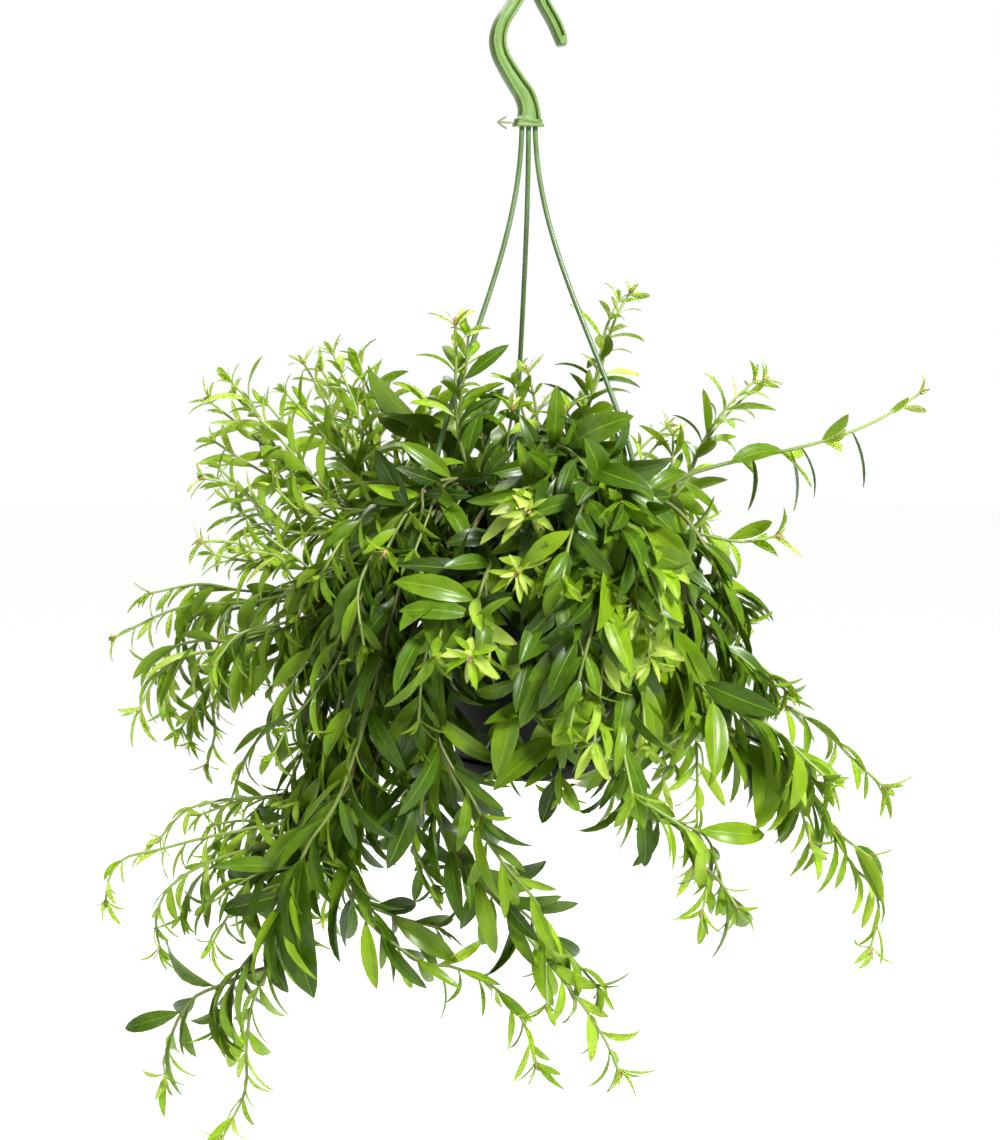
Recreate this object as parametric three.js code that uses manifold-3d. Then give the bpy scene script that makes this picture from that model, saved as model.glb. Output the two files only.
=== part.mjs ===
import * as THREE from 'three';
import { mergeVertices } from 'three/addons/utils/BufferGeometryUtils.js';
import Module from 'manifold-3d';

// A trailing plant with opposite, pointed leaves, in a hanging pot. Millimetres, +Z up, +Y to the back.
// The origin is the saddle of the hook, the flat spot at the inner top of its bow that the pot hangs by.

const wasm = await Module();
wasm.setup();

// Driving dimensions
const CLEARANCE = 0.3;
const HOOK_THICKNESS = 8.5;
const HOOK_TURN = THREE.MathUtils.degToRad(20);
const HOOK_FOOT_TOP = -70.6;
const HOOK_FOOT_BOTTOM = -74.7;
const STRAND_WIDTH = 2.9;
const STRAND_BEARINGS = { strand_left: 216, strand_back: 96, strand_right: 336 };
const RIM_RADIUS = 75;
const RIM_TOP = -306;
const RIM_HOLE_RADIUS = 70.35;
const POT_WALL = 1.8;
const POT_BOTTOM = -436.9;
const TRAY_RADIUS = 44;
const TRAY_TOP = -430.2;
const TRAY_BOTTOM = -438.7;
const SOIL_TOP = -318;
const STEM_ROOT_DEPTH = 12;
const STEM_ROOT_RADIUS = 1.5;
const STEM_TIP_RADIUS = 0.75;
const LEAF_PITCH = 12;
const LEAF_WIDTH = 0.29;
const LEAF_THICKNESS = 1.3;
const LEAF_SHARE = 0.2;
const PAST = 1;

const MATERIALS = {
  hook: { color: 0x96c362, roughness: 0.45 },
  strand: { color: 0x5f9f58, roughness: 0.4 },
  pot: { color: 0x15191a, roughness: 0.5 },
  soil: { color: 0x3b2c20, roughness: 1 },
  stem: { color: 0x4f8a1c, roughness: 0.45 }
};

const UP = new THREE.Vector3(0, 0, 1);
const part = new THREE.Group();

// What the leaves have to keep clear of, as lists of solids under a name
const solids = [];

function addMesh(name, geometry, look) {
  const material = new THREE.MeshStandardMaterial({ metalness: 0, ...MATERIALS[look] });
  const mesh = new THREE.Mesh(geometry, material);
  mesh.name = name;
  part.add(mesh);
  return mesh;
}

// A closed three.js geometry as a solid that can be joined and cut
function solidOf(geometry) {
  const bare = new THREE.BufferGeometry();
  bare.setAttribute('position', geometry.attributes.position);
  bare.setIndex(geometry.index);
  const merged = mergeVertices(bare, 1e-4);
  return new wasm.Manifold(new wasm.Mesh({
    numProp: 3,
    vertProperties: merged.attributes.position.array,
    triVerts: new Uint32Array(merged.index.array)
  }));
}

function geometryOf(solid) {
  const { vertProperties, triVerts } = solid.getMesh();
  const geometry = new THREE.BufferGeometry();
  geometry.setAttribute('position', new THREE.BufferAttribute(vertProperties, 3));
  geometry.setIndex(new THREE.BufferAttribute(triVerts, 1));
  return geometry;
}

// Points at a radius and a bearing, in degrees counter-clockwise from +X seen from above
function around(radius, bearing, z) {
  const angle = THREE.MathUtils.degToRad(bearing);
  return new THREE.Vector3(radius * Math.cos(angle), radius * Math.sin(angle), z);
}

// Rises from 0 to 1 with level ends
function smoothstep(value) {
  return THREE.MathUtils.smoothstep(value, 0, 1);
}

// A profile of [radius, z] points turned round the vertical axis
function turned(profile, segments) {
  const points = profile.map(([radius, z]) => new THREE.Vector2(radius, z));
  return new THREE.LatheGeometry(points, segments).rotateX(Math.PI / 2);
}

// An upright prism or cone over a place, between two heights
function upright(sides, [lowRadius, highRadius], place, low, high) {
  return new THREE.CylinderGeometry(highRadius, lowRadius, high - low, sides)
    .rotateX(Math.PI / 2).translate(place.x, place.y, (low + high) / 2);
}

// A skin over rings of equal count, each counter-clockwise about the way forward. Its first end is flat,
// and its last is flat too, or comes to a point.
function skin(rings, tip) {
  const count = rings[0].length;
  const corners = [];
  const last = rings[rings.length - 1];
  for (let row = 0; row + 1 < rings.length; row++) {
    for (let i = 0; i < count; i++) {
      const j = (i + 1) % count;
      corners.push(rings[row][i], rings[row][j], rings[row + 1][j]);
      corners.push(rings[row][i], rings[row + 1][j], rings[row + 1][i]);
    }
  }
  for (let i = 1; i + 1 < count; i++) corners.push(rings[0][0], rings[0][i + 1], rings[0][i]);
  if (tip) {
    for (let i = 0; i < count; i++) corners.push(last[i], last[(i + 1) % count], tip);
  } else {
    for (let i = 1; i + 1 < count; i++) corners.push(last[0], last[i], last[i + 1]);
  }
  return new THREE.BufferGeometry().setFromPoints(corners);
}

// The hook: one moulding, a bow of channel section on a flanged foot. Its limb follows a centre line of
// [x, z, width] points, from the foot up round the bow to the blunt tip.
const HOOK_LINE = [
  [-0.2, -72, 15.4], [0.2, -69.4, 12], [0, -64.5, 10.5], [-2.4, -57.5, 10], [-7.6, -50.2, 9.2],
  [-13.2, -42, 8.4], [-17, -35, 8], [-18.4, -27, 7.8], [-16, -18, 7.4], [-8.9, -7, 7], [-4.4, 1, 7.4],
  [0.4, 3.9, 8], [5, 1.2, 7], [8.8, -6.2, 5.8], [15.6, -17.2, 5.8], [19, -25, 5], [20, -29.4, 3.2]
];
const HOOK_STEPS = 28;
const HOOK_RIB = 1.7;
const HOOK_WEB = 2.6;
const HOOK_POCKET = { from: 0.015, to: 0.955, narrowest: 0.8 };
const hookCurve = new THREE.CatmullRomCurve3(HOOK_LINE.map((point) => new THREE.Vector3(...point)));

// The outline of the limb between two shares of its length, drawn in from its edges by a margin
function limbOutline(from, to, margin) {
  const left = [];
  const right = [];
  for (let i = 0; i <= HOOK_STEPS; i++) {
    const u = from + (to - from) * i / HOOK_STEPS;
    const { x, y: z, z: width } = hookCurve.getPointAt(u);
    const way = hookCurve.getTangentAt(u);
    const normal = new THREE.Vector2(-way.y, way.x).normalize();
    const half = Math.max(width / 2 - margin, HOOK_POCKET.narrowest / 2);
    left.push(new THREE.Vector2(x + normal.x * half, z + normal.y * half));
    right.unshift(new THREE.Vector2(x - normal.x * half, z - normal.y * half));
  }
  return new THREE.Shape([...left, ...right]);
}

// A shape drawn in X and Z, given a depth in Y and set so that it is centred on a Y
function plate(shape, depth, centreY) {
  return new THREE.ExtrudeGeometry(shape, { depth, bevelEnabled: false, steps: 1 })
    .rotateX(Math.PI / 2).translate(0, centreY + depth / 2, 0);
}

function box(low, high) {
  const size = high.map((value, i) => value - low[i]);
  const centre = high.map((value, i) => (value + low[i]) / 2);
  return new THREE.BoxGeometry(...size).translate(...centre);
}

const FOOT = { left: -8.5, right: 8.1, depth: HOOK_THICKNESS + 0.8 };
const STRAND_OFFSETS = { strand_left: -4, strand_back: 0, strand_right: 4 };
const SOCKET_DEPTH = 5;
const SADDLE = { left: -0.9, right: 1.7, headroom: 4 };
const ARROW_Z = -72.6;
const ARROW_SOCKET = 2.2;
const ARROW_SHAFT = 1.1;

function hook() {
  const pocketDepth = (HOOK_THICKNESS - HOOK_WEB) / 2;
  const pocketY = (HOOK_THICKNESS - pocketDepth + PAST) / 2;
  let body = solidOf(plate(limbOutline(0, 1, 0), HOOK_THICKNESS, 0));
  for (const side of [-1, 1]) {
    const outline = limbOutline(HOOK_POCKET.from, HOOK_POCKET.to, HOOK_RIB);
    const pocket = plate(outline, pocketDepth + PAST, side * pocketY);
    body = body.subtract(solidOf(pocket));
  }
  body = body.add(solidOf(box(
    [FOOT.left, -FOOT.depth / 2, HOOK_FOOT_BOTTOM], [FOOT.right, FOOT.depth / 2, HOOK_FOOT_TOP]
  )));
  body = body.subtract(solidOf(box(
    [SADDLE.left, -HOOK_THICKNESS, -SADDLE.headroom], [SADDLE.right, HOOK_THICKNESS, 0]
  )));
  for (const x of Object.values(STRAND_OFFSETS)) {
    const radius = STRAND_WIDTH / 2 + CLEARANCE;
    const place = new THREE.Vector3(x, 0, 0);
    const socketTop = HOOK_FOOT_BOTTOM + SOCKET_DEPTH;
    const socket = upright(12, [radius, radius], place, HOOK_FOOT_BOTTOM - PAST, socketTop);
    body = body.subtract(solidOf(socket));
  }
  const half = ARROW_SHAFT / 2 + CLEARANCE;
  body = body.subtract(solidOf(box(
    [FOOT.left - PAST, -half, ARROW_Z - half], [FOOT.left + ARROW_SOCKET, half, ARROW_Z + half]
  )));
  addMesh('hook', geometryOf(body), 'hook').rotation.z = HOOK_TURN;
}
hook();

// The barbed arrow that is pushed into the end of the hook's foot
const ARROW_TIP = -18.6;
const ARROW_BARB = 6.6;
const ARROW_SPREAD = THREE.MathUtils.degToRad(32);

function lockArrow() {
  const half = ARROW_SHAFT / 2;
  const end = FOOT.left + ARROW_SOCKET - CLEARANCE;
  let body = solidOf(box([ARROW_TIP + ARROW_SHAFT, -half, ARROW_Z - half], [end, half, ARROW_Z + half]));
  for (const side of [-1, 1]) {
    const barb = box([0, -half, -half], [ARROW_BARB, half, half])
      .rotateY(side * ARROW_SPREAD).translate(ARROW_TIP, 0, ARROW_Z);
    body = body.add(solidOf(barb));
  }
  addMesh('lock_arrow', geometryOf(body), 'strand').rotation.z = HOOK_TURN;
}
lockArrow();

// The three strands run from sockets under the hook's foot to holes in the pot's rim, each ending in a
// barbed foot that bears on the rim from below.
const RIM_FLANGE = 2.2;
const BARB_RADIUS = 2.4;
const BARB_TIP_RADIUS = 0.6;
const BARB_HEIGHT = 6.5;
const ROD_TOP = HOOK_FOOT_BOTTOM - 0.9;
const ROD_END = RIM_TOP + 4.5;
const ROD_LAP = 1.6;
const ROD_STEPS = 10;
const SPREAD_POWER = 1.06;
const SPREAD_EASE = 0.9;

// From under the hook's foot to over the rim. The strand is stiff, so it leaves both nearly upright.
function rodPath(top, foot) {
  const points = Array.from({ length: ROD_STEPS + 1 }, (_, i) => {
    const share = i / ROD_STEPS;
    const spread = THREE.MathUtils.lerp(share, smoothstep(share ** SPREAD_POWER), SPREAD_EASE);
    return top.clone().lerp(foot, spread).setZ(THREE.MathUtils.lerp(ROD_TOP, ROD_END, share));
  });
  return new THREE.CatmullRomCurve3(points);
}

function strand(name) {
  const radius = STRAND_WIDTH / 2;
  const section = new THREE.Shape().absellipse(0, 0, radius, radius, 0, 2 * Math.PI);
  const top = new THREE.Vector3(STRAND_OFFSETS[name], 0, 0).applyAxisAngle(UP, HOOK_TURN);
  const foot = around(RIM_HOLE_RADIUS, STRAND_BEARINGS[name], 0);
  const extrudePath = rodPath(top, foot);
  const rod = new THREE.ExtrudeGeometry(section, { steps: ROD_STEPS, curveSegments: 4, extrudePath });
  const socketTop = HOOK_FOOT_BOTTOM + SOCKET_DEPTH - CLEARANCE;
  const barbTop = RIM_TOP - RIM_FLANGE - CLEARANCE;
  const plug = upright(8, [radius, radius], top, ROD_TOP - ROD_LAP, socketTop);
  const shank = upright(8, [radius, radius], foot, barbTop - PAST, ROD_END + ROD_LAP);
  const barb = upright(8, [BARB_TIP_RADIUS, BARB_RADIUS], foot, barbTop - BARB_HEIGHT, barbTop);
  const body = wasm.Manifold.union([rod, plug, shank, barb].map(solidOf));
  solids.push({ name, pieces: [body] });
  addMesh(name, geometryOf(body), 'strand');
}
Object.keys(STRAND_BEARINGS).forEach(strand);

// The pot: a thin moulded wall with a flanged rim and a skirt. Its outside is [radius, z] from the foot up.
const POT_NECK = 67.2;
const POT_OUTSIDE = [
  [40.2, POT_BOTTOM], [41.2, -429], [47, -410], [55.5, -375], [62, -340], [66.4, -316],
  [POT_NECK, RIM_TOP - RIM_FLANGE]
];
const POT_FLOOR = POT_BOTTOM + 2;
const POT_FLOOR_RADIUS = 38.6;
const RIM_SKIRT = 9.5;
const RIM_SKIRT_WALL = 1.7;
const RIM_CHAMFER = 0.6;
const RIM_HOLE_PLAY = 0.35;
const DRAIN_HOLES = 5;
const DRAIN_RADIUS = 4;
const DRAIN_RING = 24;

function inside(gap) {
  return POT_OUTSIDE.slice(1).map(([radius, z]) => [radius - gap, z]);
}

function pot() {
  const skirtInside = RIM_RADIUS - RIM_SKIRT_WALL;
  const profile = [
    [0, POT_BOTTOM], ...POT_OUTSIDE, [skirtInside, RIM_TOP - RIM_FLANGE], [skirtInside, RIM_TOP - RIM_SKIRT],
    [RIM_RADIUS, RIM_TOP - RIM_SKIRT], [RIM_RADIUS, RIM_TOP - RIM_CHAMFER],
    [RIM_RADIUS - RIM_CHAMFER, RIM_TOP], [POT_NECK - POT_WALL, RIM_TOP], ...inside(POT_WALL).reverse(),
    [POT_FLOOR_RADIUS, POT_FLOOR], [0, POT_FLOOR]
  ];
  let body = solidOf(turned(profile, 32));
  for (const bearing of Object.values(STRAND_BEARINGS)) {
    const radius = STRAND_WIDTH / 2 + RIM_HOLE_PLAY;
    const place = around(RIM_HOLE_RADIUS, bearing, 0);
    const hole = upright(12, [radius, radius], place, RIM_TOP - RIM_FLANGE - PAST, RIM_TOP + PAST);
    body = body.subtract(solidOf(hole));
  }
  for (let i = 0; i < DRAIN_HOLES; i++) {
    const place = around(DRAIN_RING, 360 * i / DRAIN_HOLES, 0);
    const drain = upright(8, [DRAIN_RADIUS, DRAIN_RADIUS], place, POT_BOTTOM - PAST, POT_FLOOR + PAST);
    body = body.subtract(solidOf(drain));
  }
  solids.push({ name: 'pot', pieces: [body] });
  addMesh('pot', geometryOf(body), 'pot');
}
pot();

// The drip tray: a shallow, slightly flared cup that the pot's foot stands in
const TRAY_WALL = 1.6;
const TRAY_CHAMFER = 2;
const TRAY_FLARE = 1;

function tray() {
  const foot = TRAY_RADIUS - TRAY_FLARE;
  const floor = POT_BOTTOM - CLEARANCE;
  const profile = [
    [0, TRAY_BOTTOM], [foot - TRAY_CHAMFER, TRAY_BOTTOM], [foot, TRAY_BOTTOM + TRAY_CHAMFER],
    [TRAY_RADIUS, TRAY_TOP], [TRAY_RADIUS - TRAY_WALL, TRAY_TOP], [foot - TRAY_WALL, floor], [0, floor]
  ];
  addMesh('drip_tray', turned(profile, 32), 'pot');
}
tray();

// The stems. Each has the ring radius and the bearing of its root in the soil, the length of its leaves,
// how much they droop, the points that it passes through from the soil out to its tip, and its branches.
const STEMS = [
  { name: 'stem_left_01', root: [40, 165], leaf: 30, droop: 0.15, through: [
    [-50, 14, -288], [-92, 28, -295], [-128, 34, -277], [-158, 40, -251], [-186, 46, -229]] },
  { name: 'stem_left_02', root: [22, 145], leaf: 28, droop: 0.1, through: [
    [-34, 26, -276], [-60, 42, -278], [-91, 58, -284], [-108, 64, -261], [-122, 70, -226],
    [-133, 74, -207]] },
  { name: 'stem_left_03', root: [40, 142.5], leaf: 30, droop: 0.1, through: [
    [-48, 44, -284], [-70, 70, -280], [-87, 84, -269], [-99, 88, -243], [-113, 92, -228], [-124, 95, -211]] },
  { name: 'stem_left_04', root: [40, 187.5], leaf: 28, droop: 0.2, through: [
    [-54, -4, -286], [-80, 2, -292], [-104, 8, -302], [-136, 10, -303], [-152, 8, -289], [-167, 6, -276],
    [-184, 4, -272]] },
  { name: 'stem_left_05', root: [56, 180], leaf: 30, droop: 0.35, through: [
    [-68, -2, -295], [-86, -6, -306], [-108, -12, -321], [-134, -14, -321], [-152, -16, -312],
    [-165, -18, -307], [-182, -20, -306]] },
  { name: 'stem_left_06', root: [56, 150], leaf: 32, droop: 0.6, through: [
    [-59, 33, -295], [-80, 38, -306], [-110, 38, -330], [-156, 36, -345], [-192, 34, -347],
    [-212, 33, -352], [-241, 32, -366]] },
  { name: 'stem_left_07', root: [56, 165], leaf: 26, droop: 0.5, through: [
    [-66, 18, -295], [-88, 20, -311], [-112, 18, -344], [-125, 15, -366], [-157, 13, -382],
    [-174, 12, -390], [-182, 12, -403], [-181, 12, -420], [-186, 12, -438]],
    branches: [[[-125, 15, -366], [-137, 9, -392], [-151, 2, -416], [-163, -2, -434], [-170, -4, -456]]] },
  { name: 'stem_left_08', root: [56, 195], leaf: 38, droop: 0.7, through: [
    [-66, -18, -295], [-84, -24, -308], [-103, -30, -334], [-127, -30, -350], [-163, -28, -364],
    [-191, -27, -370], [-208, -26, -381], [-218, -26, -399]] },
  { name: 'stem_left_09', root: [56, 210], leaf: 28, droop: 0.4, through: [
    [-59, -35, -295], [-76, -46, -309], [-92, -56, -345], [-98, -62, -400], [-113, -62, -436],
    [-140, -60, -443], [-170, -58, -446], [-189, -57, -452], [-203, -56, -467]] },
  { name: 'stem_left_10', root: [40, 210], leaf: 28, droop: 0.7, through: [
    [-50, -30, -286], [-74, -45, -290], [-96, -62, -330], [-110, -76, -395], [-127, -85, -447],
    [-151, -86, -456], [-175, -86, -461], [-201, -85, -468], [-217, -84, -472], [-226, -84, -481],
    [-229, -84, -496]] },
  { name: 'stem_left_11', root: [22, 235], leaf: 32, droop: 0.7, through: [
    [-34, -36, -272], [-66, -62, -288], [-92, -84, -335], [-104, -92, -400], [-122, -98, -454],
    [-146, -99, -463], [-172, -99, -472], [-191, -98, -484], [-199, -97, -498], [-200, -96, -509],
    [-198, -96, -519]] },
  { name: 'stem_left_12', root: [56, 225], leaf: 34, droop: 0.5, through: [
    [-49, -49, -295], [-63, -62, -309], [-76, -76, -345], [-92, -88, -415], [-106, -98, -462],
    [-122, -106, -478], [-141, -110, -484], [-156, -110, -493], [-168, -110, -512]] },
  { name: 'stem_left_13', root: [40, 232.5], leaf: 38, droop: 0.4, through: [
    [-36, -48, -284], [-56, -72, -292], [-72, -92, -335], [-84, -106, -385], [-100, -120, -432],
    [-116, -124, -457], [-126, -126, -483], [-130, -126, -505], [-137, -126, -521], [-146, -126, -542],
    [-149, -126, -566], [-150, -126, -588], [-162, -125, -613]],
    branches: [[[-137, -126, -521], [-148, -125, -525], [-161, -124, -531], [-176, -123, -538],
      [-185, -122, -550], [-190, -121, -564], [-192, -120, -580]]] },
  { name: 'stem_left_14', root: [56, 240], leaf: 38, droop: 0.4, through: [
    [-35, -60, -295], [-46, -77, -308], [-62, -90, -345], [-80, -96, -410], [-92, -97, -465],
    [-98, -95, -485], [-91, -92, -500], [-76, -90, -516], [-57, -88, -529], [-41, -86, -532],
    [-23, -84, -541], [-10, -82, -553], [-2, -81, -567], [4, -80, -587]] },
  { name: 'stem_low_01', root: [56, 255], leaf: 39, droop: 0.4, through: [
    [-18, -66, -295], [-26, -84, -309], [-38, -98, -345], [-48, -102, -400], [-50, -101, -440],
    [-42, -100, -464], [-26, -98, -483], [-4, -96, -509], [14, -95, -532], [30, -94, -553],
    [41, -93, -571], [48, -92, -587]] },
  { name: 'stem_low_02', root: [40, 255], leaf: 44, droop: 0.5, through: [
    [-16, -58, -284], [-28, -84, -290], [-42, -108, -325], [-50, -119, -392], [-33, -120, -437],
    [-15, -118, -467], [4, -116, -491], [7, -115, -514], [9, -114, -545]] },
  { name: 'stem_back_01', root: [56, 30], leaf: 38, droop: 0.4, through: [
    [59, 34, -295], [76, 44, -309], [92, 54, -345], [100, 58, -400], [102, 56, -445], [102, 52, -480],
    [100, 48, -505]] },
  { name: 'stem_back_02', root: [56, 45], leaf: 38, droop: 0.4, through: [
    [49, 49, -295], [62, 62, -309], [74, 74, -345], [82, 84, -395], [84, 86, -430], [84, 86, -460]] },
  { name: 'stem_back_03', root: [56, 60], leaf: 38, droop: 0.4, through: [
    [34, 58, -294], [44, 76, -308], [52, 90, -340], [56, 100, -380], [56, 104, -420]] },
  { name: 'stem_back_04', root: [56, 75], leaf: 38, droop: 0.4, through: [
    [18, 66, -295], [24, 84, -308], [28, 100, -335], [30, 112, -370], [30, 118, -405]] },
  { name: 'stem_back_05', root: [56, 90], leaf: 38, droop: 0.4, through: [
    [0, 68, -295], [-1, 86, -308], [-2, 104, -340], [-2, 116, -385], [-2, 120, -425]] },
  { name: 'stem_back_06', root: [56, 105], leaf: 38, droop: 0.4, through: [
    [-18, 66, -295], [-24, 84, -309], [-30, 100, -340], [-34, 110, -385], [-36, 114, -420]] },
  { name: 'stem_back_07', root: [56, 120], leaf: 38, droop: 0.4, through: [
    [-35, 60, -295], [-45, 76, -310], [-56, 90, -350], [-64, 98, -410], [-68, 100, -455], [-70, 98, -490]] },
  { name: 'stem_back_08', root: [56, 135], leaf: 38, droop: 0.4, through: [
    [-49, 49, -295], [-63, 62, -310], [-80, 74, -350], [-96, 80, -410], [-108, 80, -460],
    [-116, 76, -505], [-120, 72, -540]] },
  { name: 'stem_back_09', root: [40, 30], leaf: 34, droop: 0.3, through: [
    [46, 28, -284], [68, 42, -278], [90, 56, -284], [104, 66, -300]] },
  { name: 'stem_back_10', root: [40, 52.5], leaf: 36, droop: 0.3, through: [
    [34, 44, -282], [50, 64, -274], [66, 84, -280], [78, 100, -302], [84, 110, -332]] },
  { name: 'stem_back_11', root: [40, 75], leaf: 36, droop: 0.3, through: [
    [14, 52, -280], [22, 76, -270], [30, 98, -276], [36, 116, -298], [40, 128, -330]] },
  { name: 'stem_back_12', root: [40, 90], leaf: 36, droop: 0.3, through: [
    [0, 54, -282], [2, 78, -272], [3, 100, -276], [4, 122, -292], [4, 140, -322]] },
  { name: 'stem_back_13', root: [40, 120], leaf: 36, droop: 0.3, through: [
    [-28, 48, -282], [-42, 74, -274], [-54, 96, -280], [-64, 112, -302], [-72, 124, -332]] },
  { name: 'stem_right_01', root: [40, 7.5], leaf: 34, droop: 0.4, through: [
    [54, 8, -286], [74, 12, -280], [93, 14, -270], [122, 16, -262], [151, 17, -256], [180, 18, -248],
    [203, 18, -238], [225, 18, -224]] },
  { name: 'stem_right_02', root: [56, 15], leaf: 28, droop: 0.1, through: [
    [63, 19, -294], [76, 28, -290], [91, 34, -278], [102, 38, -255], [119, 42, -234], [138, 45, -217]],
    branches: [[[76, 28, -290], [83, 24, -268], [84, 22, -248]]] },
  { name: 'stem_right_03', root: [22, 10], leaf: 26, droop: 0.3, through: [
    [24, 6, -284], [25, 8, -261], [33, 10, -235], [41, 12, -212], [46, 13, -192], [52, 14, -177],
    [58, 15, -167]] },
  { name: 'stem_right_04', root: [22, 55], leaf: 22, droop: 0.2, through: [
    [28, 28, -280], [49, 40, -277], [60, 43, -264], [72, 45, -251], [82, 46, -244]] },
  { name: 'stem_right_05', root: [56, 0], leaf: 34, droop: 0.2, through: [
    [67, -2, -295], [84, -5, -303], [97, -8, -303], [112, -10, -306], [123, -12, -307], [139, -12, -304]] },
  { name: 'stem_right_06', root: [56, 345], leaf: 40, droop: 0.4, through: [
    [66, -18, -295], [80, -22, -306], [92, -26, -324], [107, -28, -337], [118, -28, -350]] },
  { name: 'stem_right_07', root: [56, 330], leaf: 38, droop: 0.5, through: [
    [59, -35, -295], [74, -44, -308], [88, -50, -334], [98, -52, -354], [113, -52, -366],
    [128, -52, -373], [141, -52, -386]] },
  { name: 'stem_right_08', root: [40, 345], leaf: 36, droop: 0.5, through: [
    [54, -14, -284], [80, -22, -286], [102, -34, -316], [114, -38, -356], [130, -40, -388],
    [150, -40, -400], [167, -40, -412], [179, -40, -425], [197, -40, -441]] },
  { name: 'stem_right_09', root: [40, 322.5], leaf: 38, droop: 0.5, through: [
    [46, -35, -284], [66, -50, -290], [82, -62, -325], [92, -68, -366], [110, -74, -391],
    [132, -77, -417], [150, -78, -438], [162, -78, -456], [175, -78, -478], [186, -77, -489],
    [190, -76, -504], [186, -75, -524]],
    branches: [[[162, -78, -456], [171, -82, -463], [182, -84, -471]]] },
  { name: 'stem_right_10', root: [56, 315], leaf: 42, droop: 0.5, through: [
    [49, -49, -295], [62, -62, -308], [74, -74, -345], [88, -84, -385], [104, -88, -404],
    [131, -91, -421], [143, -92, -440], [150, -92, -462]] },
  { name: 'stem_right_11', root: [56, 300], leaf: 38, droop: 0.5, through: [
    [35, -60, -295], [44, -76, -308], [50, -92, -345], [48, -104, -390], [46, -110, -420],
    [58, -112, -435], [79, -112, -449], [89, -112, -458], [92, -111, -472], [93, -110, -485],
    [91, -110, -495]],
    branches: [[[50, -92, -345], [58, -104, -375], [60, -116, -404]],
      [[92, -111, -472], [99, -113, -478], [108, -115, -491]]] },
  { name: 'stem_top_01', root: [22, 280], leaf: 30, droop: 0, through: [
    [-14, -32, -284], [-34, -44, -262], [-40, -47, -232], [-40, -48, -207], [-40, -49, -186]] },
  { name: 'stem_top_02', root: [22, 100], leaf: 28, droop: 0.1, through: [
    [2, 16, -286], [6, 12, -262], [5, 8, -238], [3, 7, -224], [0, 6, -212]] },
  { name: 'stem_top_03', root: [22, 190], leaf: 50, droop: 0.1, through: [
    [-36, 4, -284], [-50, 12, -268], [-56, 14, -251], [-56, 16, -232]] },
  { name: 'stem_top_04', root: [0, 0], leaf: 36, droop: 0.1, through: [
    [-4, -2, -286], [-12, -6, -258], [-9, -10, -234]] },
  { name: 'stem_top_05', root: [22, 325], leaf: 34, droop: 0.1, through: [
    [22, -14, -286], [23, -18, -262], [22, -20, -250], [20, -22, -234]] },
  { name: 'stem_front_01', root: [56, 270], leaf: 34, droop: 0.2, through: [
    [-4, -67, -296], [-14, -90, -300], [-24, -116, -318], [-30, -136, -340], [-31, -152, -354]] },
  { name: 'stem_front_02', root: [40, 277.5], leaf: 30, droop: 0.1, through: [
    [6, -56, -284], [4, -84, -276], [2, -108, -276], [-1, -128, -282]] },
  { name: 'stem_front_03', root: [56, 285], leaf: 28, droop: 0.1, through: [
    [14, -66, -296], [8, -94, -297], [0, -118, -304], [-7, -142, -313]] },
  { name: 'stem_front_04', root: [40, 300], leaf: 36, droop: 0.2, through: [
    [28, -50, -284], [38, -80, -284], [44, -104, -297], [51, -134, -328]],
    branches: [[[44, -104, -297], [56, -114, -325], [61, -126, -358]]] },
  { name: 'stem_front_05', root: [31, 300], leaf: 38, droop: 0.3, through: [
    [22, -48, -270], [30, -84, -262], [36, -118, -280], [38, -138, -320], [36, -146, -360],
    [32, -146, -400]] },
  { name: 'stem_front_06', root: [31, 245], leaf: 32, droop: 0.1, through: [
    [-26, -46, -276], [-48, -66, -270], [-64, -82, -284], [-76, -92, -305]] },
  { name: 'stem_front_07', root: [31, 268], leaf: 40, droop: 0.3, through: [
    [4, -52, -270], [10, -86, -262], [14, -116, -282], [16, -130, -325], [16, -132, -375],
    [15, -122, -428]] }
];

// The soil, with a plain square hole for the foot of each stem
const SOIL_GAP = 0.35;
const SOIL_FLOOR = POT_FLOOR + SOIL_GAP;
const SOIL_RADIUS = 63;
const HOLE_RADIUS = STEM_ROOT_RADIUS + SOIL_GAP * Math.SQRT2;

function soil() {
  const wall = inside(POT_WALL + SOIL_GAP).filter(([, z]) => z < SOIL_TOP);
  const foot = POT_FLOOR_RADIUS - 2 * SOIL_GAP;
  const profile = [[0, SOIL_FLOOR], [foot, SOIL_FLOOR], ...wall, [SOIL_RADIUS, SOIL_TOP], [0, SOIL_TOP]];
  let body = solidOf(turned(profile, 24));
  for (const { root } of STEMS) {
    const bottom = SOIL_TOP - STEM_ROOT_DEPTH - SOIL_GAP;
    const hole = upright(4, [HOLE_RADIUS, HOLE_RADIUS], around(...root, 0), bottom, SOIL_TOP + PAST);
    body = body.subtract(solidOf(hole));
  }
  solids.push({ name: 'soil', pieces: [body] });
  addMesh('soil', geometryOf(body), 'soil');
}
soil();

// A number between 0 and 1 that is settled by two whole numbers
function chance(stem, draw) {
  const wave = Math.sin(stem * 12.9898 + draw * 78.233) * 43758.5453;
  return wave - Math.floor(wave);
}

function lineCurve(points) {
  const places = points.map((point) => new THREE.Vector3(...point));
  return new THREE.CatmullRomCurve3(places, false, 'catmullrom', 0.5);
}

// A level vector square to the first step of a line
function sideways(points) {
  return new THREE.Vector3(points[0][1] - points[1][1], points[1][0] - points[0][0], 0).normalize();
}

// A vector made square to a way, which carries it along a line without twist
function carried(side, way) {
  return side.clone().addScaledVector(way, -side.dot(way)).normalize();
}

// A stem: a slim four-sided taper along its points. A main stem has a straight foot in the soil.
const STEM_STEP = 25;
const STEM_COLLAR = 1.5;
const BRANCH_THINNER = 0.75;

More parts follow.
